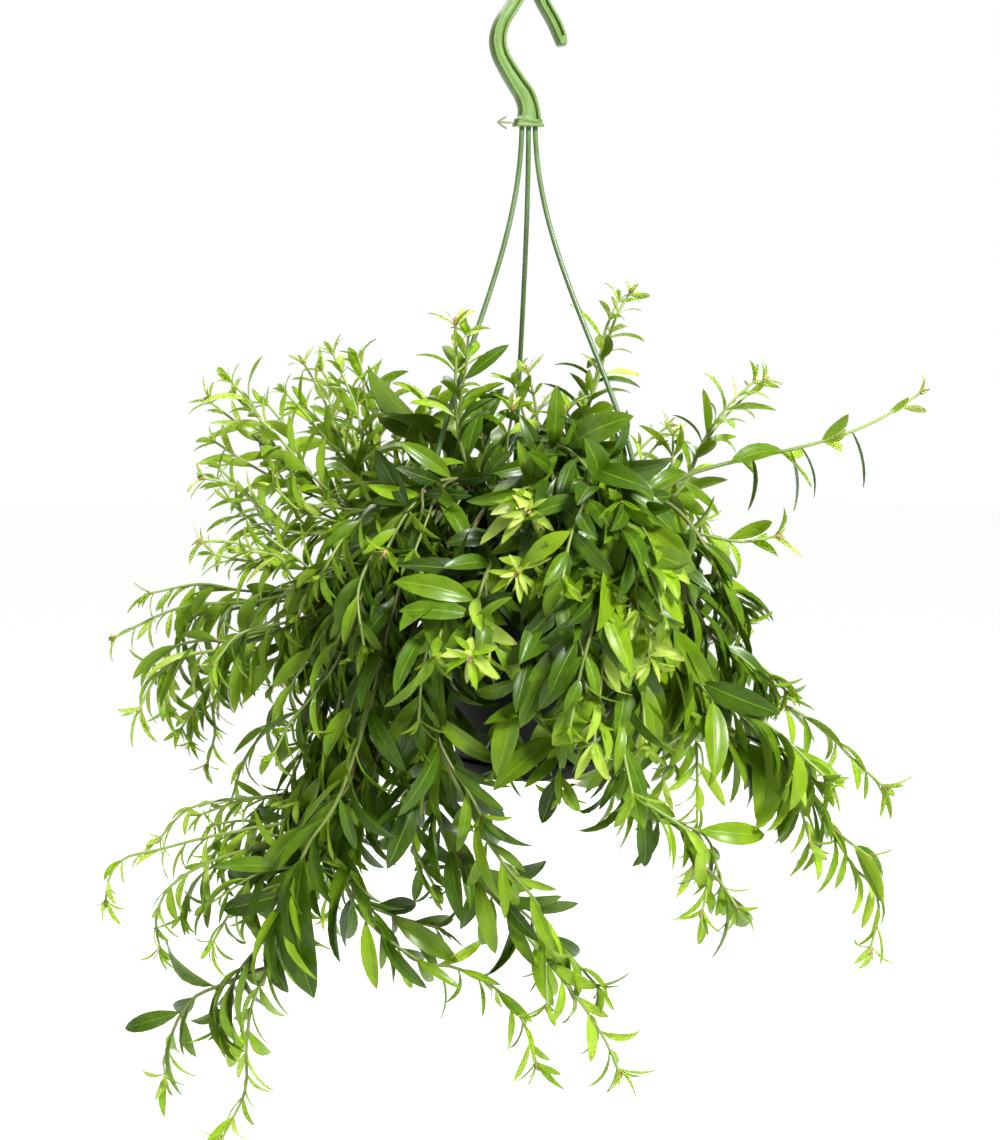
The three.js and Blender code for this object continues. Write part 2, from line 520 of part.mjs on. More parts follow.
function stemRing(centre, side, way, radius) {
  const across = new THREE.Vector3().crossVectors(way, side);
  return [[side, 1], [across, 1], [side, -1], [across, -1]].map(([axis, sign]) => (
    centre.clone().addScaledVector(axis, sign * radius)
  ));
}

function stepsOf(curve) {
  return Math.max(4, Math.round(curve.getLength() / STEM_STEP));
}

// The place at a share of a stem's length, on the straight runs between its rings
function placeOn(curve, share) {
  const steps = stepsOf(curve);
  const run = Math.min(Math.floor(share * steps), steps - 1);
  return curve.getPointAt(run / steps).lerp(curve.getPointAt((run + 1) / steps), share * steps - run);
}

function stemSolid(points, rooted) {
  const curve = lineCurve(points);
  const steps = stepsOf(curve);
  const thickest = rooted ? STEM_ROOT_RADIUS : STEM_ROOT_RADIUS * BRANCH_THINNER;
  const foot = new THREE.Vector3(...points[0]);
  const rings = [];
  let side = rooted ? new THREE.Vector3(1, 0, 0) : sideways(points);
  if (rooted) {
    rings.push(stemRing(foot.clone().setZ(SOIL_TOP - STEM_ROOT_DEPTH), side, UP, thickest));
    rings.push(stemRing(foot.clone().setZ(SOIL_TOP + STEM_COLLAR), side, UP, thickest));
  }
  for (let i = rooted ? 1 : 0; i <= steps; i++) {
    const u = i / steps;
    const way = curve.getTangentAt(u);
    side = carried(side, way);
    rings.push(stemRing(curve.getPointAt(u), side, way, THREE.MathUtils.lerp(thickest, STEM_TIP_RADIUS, u)));
  }
  return solidOf(skin(rings));
}

// The leaves of a line stand in opposite pairs, each pair turned a quarter from the last. Each leaf has a
// foot on the line, a way out, a face, a length and the angle that it bends back over that length. Angles
// are in radians, and play is the whole width of a random range.
const LEAF_TURN_PLAY = 0.7;
const LEAF_LEAN = { low: 1.15, lift: 0.45, play: 0.4 };
const LEAF_DROOP = { least: 0.4, play: 1.2 };
const LEAF_FACES_UP = 0.9;
const LEAF_ROLL_PLAY = 1.1;
const LEAF_SIZE = { least: 0.8, play: 0.4, atFoot: 0.75, gain: 0.8, tipLoss: 0.6, tipFrom: 0.6 };
const LEAF_BEND = { least: 0.3, play: 0.9 };
const FIRST_PAIR = 0.9;
const LAST_SHARE = 0.995;

function leafSize(share, draw) {
  const grown = Math.min(1, LEAF_SIZE.atFoot + LEAF_SIZE.gain * share);
  const young = LEAF_SIZE.tipLoss * smoothstep((share - LEAF_SIZE.tipFrom) / (1 - LEAF_SIZE.tipFrom));
  return grown * (1 - young) * (LEAF_SIZE.least + LEAF_SIZE.play * draw);
}

function leavesOf(points, stem, leafLength, droop, bare) {
  const curve = lineCurve(points);
  const length = curve.getLength();
  const pairs = Math.max(2, Math.round((length - bare) / LEAF_PITCH));
  const leaves = [];
  let side = sideways(points);
  for (let pair = 0; pair < pairs; pair++) {
    const share = Math.min((bare + (length - bare) * (pair + FIRST_PAIR) / pairs) / length, LAST_SHARE);
    const foot = placeOn(curve, share);
    const way = curve.getTangentAt(share);
    side = carried(side, way);
    const across = new THREE.Vector3().crossVectors(way, side);
    for (let half = 0; half < 2; half++) {
      const draw = (kind) => chance(stem, 10 * (2 * pair + half) + kind);
      const turn = Math.PI * (pair / 2 + half) + LEAF_TURN_PLAY * (draw(0) - 0.5);
      const lean = LEAF_LEAN.low - LEAF_LEAN.lift * share + LEAF_LEAN.play * (draw(1) - 0.5);
      const sag = droop * (LEAF_DROOP.least + LEAF_DROOP.play * draw(2));
      const radial = side.clone().multiplyScalar(Math.cos(turn)).addScaledVector(across, Math.sin(turn));
      const out = way.clone().multiplyScalar(Math.cos(lean)).addScaledVector(radial, Math.sin(lean));
      out.addScaledVector(UP, -sag).normalize();
      const face = way.clone().multiplyScalar(Math.sin(lean)).addScaledVector(radial, -Math.cos(lean));
      face.addScaledVector(UP, LEAF_FACES_UP);
      const top = carried(face, out).applyAxisAngle(out, LEAF_ROLL_PLAY * (draw(3) - 0.5));
      const size = leafLength * leafSize(share, draw(4));
      leaves.push({ foot, out, top, size, bend: LEAF_BEND.least + LEAF_BEND.play * draw(5) });
    }
  }
  return leaves;
}

// A blade: flat above with a keel below, on an arc that ends in a point. Its foot is a thin stalk that
// starts in the middle of the stem, and its widest place is half way along.
const STALK = { share: 0, half: 0.45, face: 0.25, keel: -0.4 };

function leafSolid({ foot, out, top, size, bend }) {
  const across = new THREE.Vector3().crossVectors(top, out);
  const onArc = (share, aside, above) => {
    const angle = bend * share;
    return foot.clone()
      .addScaledVector(out, (size / bend + above) * Math.sin(angle))
      .addScaledVector(top, (size / bend + above) * Math.cos(angle) - size / bend)
      .addScaledVector(across, aside);
  };
  const widest = { share: 0.5, half: size * LEAF_WIDTH / 2, face: 0, keel: -LEAF_THICKNESS };
  const rings = [STALK, widest].map(({ share, half, face, keel }) => (
    [onArc(share, half, face), onArc(share, -half, face), onArc(share, 0, keel)]
  ));
  return solidOf(skin(rings, onArc(1, 0, 0)));
}

// The volume that two solids share
function shared(a, b) {
  const one = a.boundingBox();
  const other = b.boundingBox();
  const apart = [0, 1, 2].some((i) => one.min[i] > other.max[i] || other.min[i] > one.max[i]);
  return apart ? 0 : a.intersect(b).volume();
}

// A branch starts in the middle of its stem, beside the point that it is drawn from
const BRANCH_TRIES = 400;

function rootedOn(main, branch) {
  const curve = lineCurve(main);
  const from = new THREE.Vector3(...branch[0]);
  const places = Array.from({ length: BRANCH_TRIES + 1 }, (_, i) => placeOn(curve, i / BRANCH_TRIES));
  places.sort((a, b) => a.distanceTo(from) - b.distanceTo(from));
  return [places[0].toArray(), ...branch.slice(1)];
}

// Every stem stands before any leaf grows, so that a leaf can keep clear of all the other stems. A stem is
// bare over its foot, and a leaf may share only the volume of its own foot with the rest of its stem.
const BARE_FOOT = 24;
const BARE_BRANCH = 8;
const LEAF_ROOT_VOLUME = 6;
const LINE_SEEDS = 100;
const plants = STEMS.map(({ name, root, leaf, droop, through, branches = [] }, index) => {
  const main = [around(...root, SOIL_TOP).toArray(), ...through];
  const side = branches.map((branch) => rootedOn(main, branch));
  const pieces = [stemSolid(main, true), ...side.map((branch) => stemSolid(branch, false))];
  const lines = [[main, BARE_FOOT], ...side.map((branch) => [branch, BARE_BRANCH])];
  const leaves = lines.map(([points, bare], line) => (
    leavesOf(points, index + LINE_SEEDS * line, leaf, droop, bare)
  ));
  const plant = { name, pieces, leaves };
  solids.push(plant);
  return plant;
});

for (const plant of plants) {
  let due = 0;
  for (const leaf of plant.leaves.flatMap((line) => [...line].reverse())) {
    due += LEAF_SHARE;
    if (due < 1) continue;
    const blade = leafSolid(leaf);
    const crosses = solids.some((other) => other.pieces.some((piece) => (
      shared(blade, piece) > (other === plant ? LEAF_ROOT_VOLUME : 0)
    )));
    if (crosses) continue;
    plant.pieces.push(blade);
    due -= 1;
  }
  addMesh(plant.name, geometryOf(wasm.Manifold.union(plant.pieces)), 'stem');
}

export default part;
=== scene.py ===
import math

import bpy
import numpy as np
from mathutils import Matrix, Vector


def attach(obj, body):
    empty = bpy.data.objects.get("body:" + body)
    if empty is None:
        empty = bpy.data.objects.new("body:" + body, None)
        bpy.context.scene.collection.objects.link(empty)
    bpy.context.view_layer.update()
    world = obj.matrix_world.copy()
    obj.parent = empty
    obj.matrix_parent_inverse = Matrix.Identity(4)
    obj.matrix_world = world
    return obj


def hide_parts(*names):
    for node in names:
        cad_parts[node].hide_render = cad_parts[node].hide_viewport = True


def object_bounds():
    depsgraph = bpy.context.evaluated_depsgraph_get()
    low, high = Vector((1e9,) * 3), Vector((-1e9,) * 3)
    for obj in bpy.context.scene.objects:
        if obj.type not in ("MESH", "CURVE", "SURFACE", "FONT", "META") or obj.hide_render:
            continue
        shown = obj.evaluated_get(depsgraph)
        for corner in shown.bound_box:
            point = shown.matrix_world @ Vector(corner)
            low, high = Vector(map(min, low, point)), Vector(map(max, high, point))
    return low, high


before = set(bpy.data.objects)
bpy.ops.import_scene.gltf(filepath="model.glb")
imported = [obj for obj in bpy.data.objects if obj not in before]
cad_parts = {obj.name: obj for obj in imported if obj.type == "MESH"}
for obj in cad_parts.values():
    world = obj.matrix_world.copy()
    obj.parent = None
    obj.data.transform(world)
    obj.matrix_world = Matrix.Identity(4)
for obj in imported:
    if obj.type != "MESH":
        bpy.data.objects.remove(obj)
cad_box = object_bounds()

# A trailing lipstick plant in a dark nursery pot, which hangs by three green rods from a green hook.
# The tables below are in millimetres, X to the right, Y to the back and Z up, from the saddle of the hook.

MM = 0.001
CAMERA_DISTANCE = 1300
CAMERA_PITCH = 5
CAMERA_AIM = (-16, 0, -324)
CAMERA_LENS = 72
CAMERA_FILM = 36
CAMERA_FAR = 100
FLOOR_Z = -800
FLOOR_RADIUS = 9000
FLOOR_SIDES = 96
FLOOR_GLOW = 0.6
FLOOR_GRAIN = 40
LAMPS = {
    "key_lamp": {"place": (900, -1150, 900), "aim": (0, 0, -330), "width": 500, "watts": 71},
    "side_lamp": {"place": (-1300, -900, 0), "aim": (0, 0, -350), "width": 900, "watts": 4},
    "back_lamp": {"place": (-500, 900, 900), "aim": (-60, 0, -300), "width": 700, "watts": 12},
    "back_panel": {"place": (0, 1900, -150), "aim": (0, 0, -320), "width": 2200, "watts": 38},
}
SURROUND_SEEN = 1.0
FLOOR_SEEN = 1.6
SURROUND_LIGHT = 0.2


def shade(red, green, blue):
    """A colour given as a screen shows it, 0 to 255, as the amounts of light that it stands for: each part
    below 4% of full is a straight share, and the rest is raised to the power 2.4."""
    parts = np.array((red, green, blue)) / 255
    light = np.where(parts <= 0.04045, parts / 12.92, ((parts + 0.055) / 1.055) ** 2.4)
    return (*light.tolist(), 1)


class Value:
    """A socket of a finish. A sum of such values adds the Math nodes that work it out."""

    def __init__(self, finish, socket):
        self.finish = finish
        self.socket = socket

    def maths(self, operation, *terms):
        return self.finish.node("ShaderNodeMath", {"operation": operation}, dict(enumerate(terms)))

    def __add__(self, other):
        return self.maths("ADD", self, other)

    def __sub__(self, other):
        return self.maths("SUBTRACT", self, other)

    def __rsub__(self, other):
        return self.maths("SUBTRACT", other, self)

    def __mul__(self, other):
        return self.maths("MULTIPLY", self, other)

    def __abs__(self):
        return self.maths("ABSOLUTE", self)

    __radd__ = __add__
    __rmul__ = __mul__


class Finish:
    """A material for pieces of the object, or the surround, made from nodes."""

    def __init__(self, name, owner=None):
        self.owner = owner or bpy.data.materials.new(name)
        self.owner.use_nodes = True
        self.owner.node_tree.nodes.clear()

    def node(self, kind, settings=None, values=None, output=0):
        """Adds a node of a kind. Its settings come first, a ramp's stops among them, and then the numbers,
        colours or links of its sockets. It returns one of its outputs."""
        made = self.owner.node_tree.nodes.new(kind)
        for name, setting in (settings or {}).items():
            if name == "stops":
                self.set_stops(made.color_ramp.elements, setting)
            else:
                setattr(made, name, setting)
        for name, value in (values or {}).items():
            if isinstance(value, Value):
                self.owner.node_tree.links.new(value.socket, made.inputs[name])
            else:
                made.inputs[name].default_value = value
        return Value(self, made.outputs[output]) if made.outputs else None

    def set_stops(self, elements, stops):
        while len(elements) < len(stops):
            elements.new(1)
        for element, (place, colour) in zip(elements, stops):
            element.position = place
            element.color = colour

    def mix(self, share, low, high):
        """Goes from the low colour to the high one as share goes from 0 to 1."""
        return self.node("ShaderNodeMix", {"data_type": "RGBA"}, {0: share, 6: low, 7: high}, output=2)

    def ramp(self, value, low, high):
        """0 up to a low value and 1 from a high one, with level ends."""
        limits = {"Value": value, "From Min": low, "From Max": high}
        return self.node("ShaderNodeMapRange", {"interpolation_type": "SMOOTHSTEP"}, limits)

    def noise(self, grain, detail=3.0):
        """Cloudy noise around 0.5, with blotches about a grain of millimetres wide."""
        place = self.node("ShaderNodeTexCoord", output="Object")
        values = {"Vector": place, "Scale": 1 / (grain * MM), "Detail": detail}
        return self.node("ShaderNodeTexNoise", None, values)

    def mark(self, name):
        """A named number of the mesh's vertices."""
        return self.node("ShaderNodeAttribute", {"attribute_name": name}, output=2)

    def relief(self, height, depth):
        """A bump from a height of 0 to 1 that stands for a depth in millimetres."""
        return self.node("ShaderNodeBump", None, {"Height": height, "Distance": depth * MM})

    def surface(self, **values):
        """The main shader, with socket names written with underscores for spaces."""
        names = {name.replace("_", " "): value for name, value in values.items()}
        return self.node("ShaderNodeBsdfPrincipled", {"subsurface_method": "BURLEY"}, names)

    def done(self, shader):
        """Puts the shader on the material, and gives the material."""
        self.node("ShaderNodeOutputMaterial", None, {"Surface": shader})
        return self.owner


def link(name, data):
    """A new object in the scene."""
    item = bpy.data.objects.new(name, data)
    bpy.context.scene.collection.objects.link(item)
    return item


pitch = math.radians(CAMERA_PITCH)
camera = link("camera", bpy.data.cameras.new("camera"))
camera.data.lens = CAMERA_LENS
camera.data.sensor_fit = "VERTICAL"
camera.data.sensor_height = CAMERA_FILM
camera.data.clip_end = CAMERA_FAR
back_off = np.array((0, -math.cos(pitch), math.sin(pitch))) * CAMERA_DISTANCE
camera.location = (np.array(CAMERA_AIM) + back_off) * MM
camera.rotation_euler = (math.pi / 2 - pitch, 0, 0)
bpy.context.scene.camera = camera
bpy.context.scene.view_settings.view_transform = "Standard"

for lamp_name, lamp in LAMPS.items():
    place = Vector(lamp["place"])
    light = bpy.data.lights.new(lamp_name, "AREA")
    light.shape = "DISK"
    light.size = lamp["width"] * MM
    light.energy = lamp["watts"]
    stand = link(lamp_name, light)
    stand.visible_camera = False
    stand.location = place * MM
    stand.rotation_euler = (Vector(lamp["aim"]) - place).to_track_quat("-Z", "Y").to_euler()

surround = bpy.data.worlds.new("surround")
bpy.context.scene.world = surround
air = Finish("surround", surround)
seen = air.node("ShaderNodeLightPath", output="Is Camera Ray")
glow = seen * (SURROUND_SEEN - SURROUND_LIGHT) + SURROUND_LIGHT
air_light = air.node("ShaderNodeBackground", None, {"Color": (1, 1, 1, 1), "Strength": glow})
air.node("ShaderNodeOutputWorld", None, {"Surface": air_light})

turns = np.linspace(0, 2 * math.pi, FLOOR_SIDES, endpoint=False)
rim = np.stack((np.cos(turns), np.sin(turns), np.zeros(FLOOR_SIDES)), axis=1) * FLOOR_RADIUS
floor_mesh = bpy.data.meshes.new("floor")
floor_mesh.from_pydata(((rim + (0, 0, FLOOR_Z)) * MM).tolist(), [], [list(range(FLOOR_SIDES))])
floor = link("floor", floor_mesh)
paper = Finish("floor_paper")
paper_speckle = paper.mix(paper.noise(FLOOR_GRAIN), shade(244, 244, 243), shade(252, 252, 251))
paper_seen = paper.node("ShaderNodeLightPath", output="Is Camera Ray")
paper_white = paper.node("ShaderNodeEmission", None, {"Color": paper_speckle, "Strength": FLOOR_SEEN})
paper_lit = paper.surface(Base_Color=paper_speckle, Roughness=0.9)
floor_mesh.materials.append(paper.done(paper.node(
    "ShaderNodeMixShader", None, {0: paper_seen * FLOOR_GLOW, 1: paper_lit, 2: paper_white}
)))

# The hook: one moulding in light green plastic. A limb of channel section rises from a flanged foot, bends
# round the bow that hangs on a rail, and ends in a blunt tip. Three sockets under the foot hold the rods.
HOOK_TURN = math.radians(20)
HOOK_LINE = [
    (-0.2, -72, 15.4), (0.2, -69.4, 12), (0, -64.5, 10.5), (-2.4, -57.5, 10), (-7.6, -50.2, 9.2),
    (-13.2, -42, 8.4), (-17, -35, 8), (-18.4, -27, 7.8), (-16, -18, 7.4), (-8.9, -7, 7), (-4.4, 1, 7.4),
    (0.4, 3.9, 8), (5, 1.2, 7), (8.8, -6.2, 5.8), (15.6, -17.2, 5.8), (19, -25, 5), (20, -29.4, 3.2)
]
HOOK_STEPS = 180
HOOK_THICKNESS = 8.5
HOOK_WEB = 5.2
HOOK_RIB = 1.7
HOOK_EDGE = 0.7
LIMB_STATIONS = np.array([0, 0.08, 0.25, 0.45, 0.7, 1.1, 1.5, 1.62, 1.75, 1.9, 2.05, 2.3, 2.9])
LIMB_FULL_HALF = 3.3
POCKET_SHARES = (0.015, 0.955)
POCKET_RISE = 400
POCKET_SLOPE = 0.55
GROOVE_DEPTH = 0.4
GROOVE_PLACE = 2.15
GROOVE_HALF = 0.25
TIP_ROUND = 1.6
TIP_NARROWS = 0.75
TIP_THINS = 0.25
SADDLE_DEPTH = 0.8
SADDLE_MIDDLE = 0.4
SADDLE_HALF = 1.3
HOOK_FOOT = {"left": -8.5, "right": 8.1, "depth": 9.3, "bottom": -74.7, "top": -70.6, "corner": 1.4}
FLANGE_TOP = -72.9
FLANGE_EDGE = 0.45
BAND_INSET = 0.75
BAND_EDGE = 0.1
BAND_SUNK = 0.5
HOOK_GREEN = shade(92, 123, 50)
HOOK_GREEN_WORN = shade(101, 132, 60)


def unit(rows):
    """Each row of numbers divided by its length."""
    return rows / np.linalg.norm(rows, axis=-1, keepdims=True)


def eased(value):
    """Three squares less two cubes of a value held between 0 and 1: a rise with level ends."""
    held = np.clip(value, 0, 1)
    return held * held * (3 - 2 * held)


class Line:
    """A smooth line through points. Each run is the cubic whose slope at a point is half the way from the
    point before it to the point after it, or, on an even line, the slope for knots spaced by the square
    root of each run's length. Places are found by their share of the whole length."""

    KNOTS = 200

    def __init__(self, points, even=False):
        held = np.array(points, dtype=float)
        ends = [2 * held[:1] - held[1:2], held, 2 * held[-1:] - held[-2:-1]]
        self.held = np.concatenate(ends)
        self.even = even
        self.runs = len(held) - 1
        self.knots = np.linspace(0, 1, self.KNOTS + 1)
        steps = np.linalg.norm(np.diff(self.on(self.knots), axis=0), axis=1)
        self.lengths = np.concatenate(([0], np.cumsum(steps)))
        self.length = self.lengths[-1]

    def on(self, knots):
        whole = np.asarray(knots) * self.runs
        run = np.minimum(whole.astype(int), self.runs - 1)
        u = (whole - run)[..., None]
        before, start, end, after = (self.held[run + i] for i in range(4))
        if self.even:
            gaps = [np.linalg.norm(b - a, axis=-1, keepdims=True) ** 0.5
                    for a, b in ((before, start), (start, end), (end, after))]
            first = (start - before) / gaps[0] - (end - before) / (gaps[0] + gaps[1])
            last = (after - end) / gaps[2] - (after - start) / (gaps[1] + gaps[2])
            rise = (first * gaps[1]) + (end - start)
            fall = (last * gaps[1]) + (end - start)
        else:
            rise = (end - before) / 2
            fall = (after - start) / 2
        square = -3 * start + 3 * end - 2 * rise - fall
        cube = 2 * start - 2 * end + rise + fall
        return start + rise * u + square * u ** 2 + cube * u ** 3

    def knot(self, share):
        return np.interp(np.asarray(share) * self.length, self.lengths, self.knots)

    def at(self, share):
        return self.on(self.knot(share))

    def way(self, share):
        knot = self.knot(share)
        return unit(self.on(np.minimum(knot + 1e-4, 1)) - self.on(np.maximum(knot - 1e-4, 0)))


def skin(rings, closed=(True, True)):
    """The faces over rings of places, given as an array of ring, place in the ring, and x, y, z. Each ring
    runs counter-clockwise about the way forward. A closed end gets one flat face."""
    count, sides = rings.shape[:2]
    numbers = np.arange(count * sides).reshape(count, sides)
    turned = np.roll(numbers, -1, axis=1)
    faces = np.stack((numbers[:-1], turned[:-1], turned[1:], numbers[1:]), axis=-1).reshape(-1, 4).tolist()
    if closed[0]:
        faces.append(numbers[0][::-1].tolist())
    if closed[1]:
        faces.append(numbers[-1].tolist())
    return rings.reshape(-1, 3), faces


def about_z(places, angle):
    """Places turned about the upright axis: x and y go by the sine and cosine of the angle."""
    sine, cosine = math.sin(angle), math.cos(angle)
    return places @ np.array([[cosine, sine, 0], [-sine, cosine, 0], [0, 0, 1]])


def piece(name, skins, finishes, replaces=(), sharp=40, wears=None, marks=None):
    """A new piece on the object's body from one or more skins. wears gives each skin's finish by number,
    and marks are named numbers for each vertex, which the finish reads."""
    places = np.concatenate([spots for spots, _ in skins])
    starts = np.cumsum([0] + [len(spots) for spots, _ in skins[:-1]])
    faces = [
        [corner + start for corner in face] for (_, group), start in zip(skins, starts) for face in group
    ]
    mesh = bpy.data.meshes.new(name)
    mesh.from_pydata((places * MM).tolist(), [], faces)
    for finish in finishes:
        mesh.materials.append(finish)
    if wears:
        worn = np.repeat(wears, [len(group) for _, group in skins]).astype(np.int32)
        mesh.polygons.foreach_set("material_index", worn)
    for mark, values in (marks or {}).items():
        mesh.attributes.new(mark, "FLOAT", "POINT").data.foreach_set("value", values.astype(np.float32))
    mesh.set_sharp_from_angle(angle=math.radians(sharp))
    made = link(name, mesh)
    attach(made, "root")
    if replaces:
        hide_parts(*replaces)
    return made


def limb_section(half, depth):
    """Half the outline of the limb's section, from its left edge to its right over the front face. The face
    is flat, rounds off to the edges as a quarter circle, and drops by a depth between the ribs, a little
    more along them, where the groove is a bell curve."""
    squeeze = np.minimum(1, half / LIMB_FULL_HALF)[:, None]
    near = LIMB_STATIONS * squeeze
    aside = np.concatenate((-half[:, None] + near, half[:, None] - near[:, ::-1]), axis=1)
    reach = np.concatenate((near, near[:, ::-1]), axis=1)
    edge = HOOK_EDGE * squeeze
    rounding = edge - np.sqrt(np.maximum(edge ** 2 - np.maximum(edge - reach, 0) ** 2, 0))
    drop = depth[:, None] * eased((reach - (HOOK_RIB - 0.25) * squeeze) / (POCKET_SLOPE * squeeze))
    bell = np.exp(-((reach / squeeze - GROOVE_PLACE) / GROOVE_HALF) ** 2)
    drop = drop + GROOVE_DEPTH * eased(depth / 2)[:, None] * bell
    return aside, HOOK_THICKNESS / 2 - rounding - drop


limb_line = Line(HOOK_LINE, even=True)
limb_share = np.linspace(0, 1, HOOK_STEPS)
limb_at = limb_line.at(limb_share)
limb_way = unit(limb_line.way(limb_share)[:, :2])
limb_normal = np.stack((-limb_way[:, 1], limb_way[:, 0]), axis=1)
tip_left = np.clip((1 - limb_share) * limb_line.length / TIP_ROUND, 0, 1)
limb_half = limb_at[:, 2] / 2 * np.sqrt(1 - (1 - tip_left) ** 2 * TIP_NARROWS)
pocket_in = (limb_share - POCKET_SHARES[0]) * (POCKET_SHARES[1] - limb_share) * POCKET_RISE
pocket_depth = (HOOK_THICKNESS - HOOK_WEB) / 2 * eased(pocket_in) * eased((limb_half - HOOK_RIB - 0.1) / 0.5)
aside, front = limb_section(limb_half, pocket_depth)
front = front * (1 - TIP_THINS * (1 - tip_left)[:, None] ** 2)
ring_aside = -np.concatenate((aside, aside[:, ::-1]), axis=1)
ring_x = limb_at[:, :1] + limb_normal[:, :1] * ring_aside
ring_y = np.concatenate((-front, front[:, ::-1]), axis=1)
ring_z = limb_at[:, 1:2] + limb_normal[:, 1:2] * ring_aside
in_saddle = (abs(ring_x - SADDLE_MIDDLE) < SADDLE_HALF) & (ring_z > -SADDLE_DEPTH) & (ring_z < 1)
limb_rings = np.stack((ring_x, ring_y, np.where(in_saddle, 0, ring_z)), axis=-1)


def slab(half_x, half_y, edge, bottom, top, corner, steps=6):
    """A block with round edges. Its outline is a rectangle with round corners, drawn in towards the top and
    the bottom along a quarter circle."""
    angles = np.linspace(0, math.pi / 2, steps + 1)
    drawn_in = np.concatenate((edge * (1 - np.sin(angles)), edge * (1 - np.cos(angles))))
    heights = np.concatenate((bottom + edge * (1 - np.cos(angles)), top - edge + edge * np.sin(angles)))
    turn = (np.arange(4)[:, None] * math.pi / 2 + angles).ravel()
    corners = np.repeat([(1, 1), (-1, 1), (-1, -1), (1, -1)], steps + 1, axis=0)
    middle = corners * (half_x - corner, half_y - corner)
    round_to = corner - drawn_in[:, None]
    x = middle[:, 0] + round_to * np.cos(turn)
    y = middle[:, 1] + round_to * np.sin(turn)
    return np.stack((x, y, np.broadcast_to(heights[:, None], x.shape)), axis=-1)


foot_half = (HOOK_FOOT["right"] - HOOK_FOOT["left"]) / 2
foot_parts = [
    slab(foot_half - inset, HOOK_FOOT["depth"] / 2 - inset, edge, bottom, top, HOOK_FOOT["corner"])
    + (HOOK_FOOT["right"] - foot_half, 0, 0)
    for inset, edge, bottom, top in (
        (0, FLANGE_EDGE, HOOK_FOOT["bottom"], FLANGE_TOP),
        (BAND_INSET, BAND_EDGE, FLANGE_TOP - BAND_SUNK, HOOK_FOOT["top"])
    )
]


def plastic(name, colour, worn, roughness, grain=9.0, coat=0.0, gloss=0.5):
    """A moulded plastic: its colour clouds a little towards a worn one, and its skin has a fine orange peel
    and a few duller patches."""
    finish = Finish(name)
    clouds = finish.noise(grain, 4)
    fine = finish.noise(1.6, 2)
    return finish.done(finish.surface(
        Base_Color=finish.mix(finish.ramp(clouds, 0.35, 0.7), colour, worn),
        Roughness=clouds * 0.16 + (roughness - 0.08), Specular_IOR_Level=gloss,
        Coat_Weight=coat, Coat_Roughness=0.3,
        Normal=finish.relief(fine * 0.2 + clouds * 0.8, 0.03)
    ))


hook_finish = plastic("hook_plastic", HOOK_GREEN, HOOK_GREEN_WORN, 0.4)
hook_skins = [skin(about_z(rings, HOOK_TURN)) for rings in (limb_rings, *foot_parts)]
piece("hook_moulding", hook_skins, [hook_finish], ["hook"], sharp=50)

# The lock arrow: a thin barbed pin of grey-olive plastic, pushed into the left end of the hook's foot. It
# closes the loop that the hook makes with the rail, and it is a moulding of its own.
ARROW_Z = -72.6
ARROW_TIP = -18.6
ARROW_SHAFT = 1.1
ARROW_BARB = 6.6
ARROW_SPREAD = math.radians(32)
ARROW_SOCKET = 1.8
ARROW_TIP_SUNK = 0.3
ARROW_GREY = shade(104, 112, 68)
ARROW_GREY_WORN = shade(124, 130, 84)


def tube(places, radii, sides):
    """A round rod along places. Each ring stands square to the way on, and its first side is the last
    ring's, made square again, so that the rod doesn't twist."""
    ways = unit(np.gradient(places, axis=0))
    side = np.cross(ways[0], (0, 0, 1))
    side = np.array((1.0, 0, 0)) if np.linalg.norm(side) < 0.05 else side
    frames = []
    for way in ways:
        side = unit(side - way * (side @ way))
        frames.append((side, np.cross(way, side)))
    frames = np.array(frames)
    turn = np.linspace(0, 2 * math.pi, sides, endpoint=False)
    around = frames[:, :1] * np.cos(turn)[:, None] + frames[:, 1:] * np.sin(turn)[:, None]
    return places[:, None] + around * np.reshape(radii, (-1, 1, 1))


def pin(start, end, radius, sides=12):
    """A straight rod with domed ends: its radius follows a quarter circle over its first and last bit."""
    angles = np.linspace(0.12, math.pi / 2, 5)
    dome = radius * (1 - np.cos(angles))
    length = np.linalg.norm(np.subtract(end, start))
    along = np.concatenate((dome, length - dome[::-1]))
    radii = radius * np.concatenate((np.sin(angles), np.sin(angles[::-1])))
    share = (along / length)[:, None]
    return skin(tube(np.array(start) * (1 - share) + np.array(end) * share, radii, sides))


barb_x = ARROW_TIP + ARROW_BARB * math.cos(ARROW_SPREAD)
barb_rise = ARROW_BARB * math.sin(ARROW_SPREAD)
arrow_lines = [
    ((ARROW_TIP + ARROW_TIP_SUNK, 0, ARROW_Z), (HOOK_FOOT["left"] + ARROW_SOCKET, 0, ARROW_Z)),
    ((ARROW_TIP, 0, ARROW_Z), (barb_x, 0, ARROW_Z - barb_rise)),
    ((ARROW_TIP, 0, ARROW_Z), (barb_x, 0, ARROW_Z + barb_rise))
]
arrow_skins = [
    (about_z(spots, HOOK_TURN), faces)
    for spots, faces in (pin(start, end, ARROW_SHAFT / 2) for start, end in arrow_lines)
]
arrow_finish = plastic("arrow_plastic", ARROW_GREY, ARROW_GREY_WORN, 0.45, 5)
piece("lock_arrow_pin", arrow_skins, [arrow_finish], ["lock_arrow"])

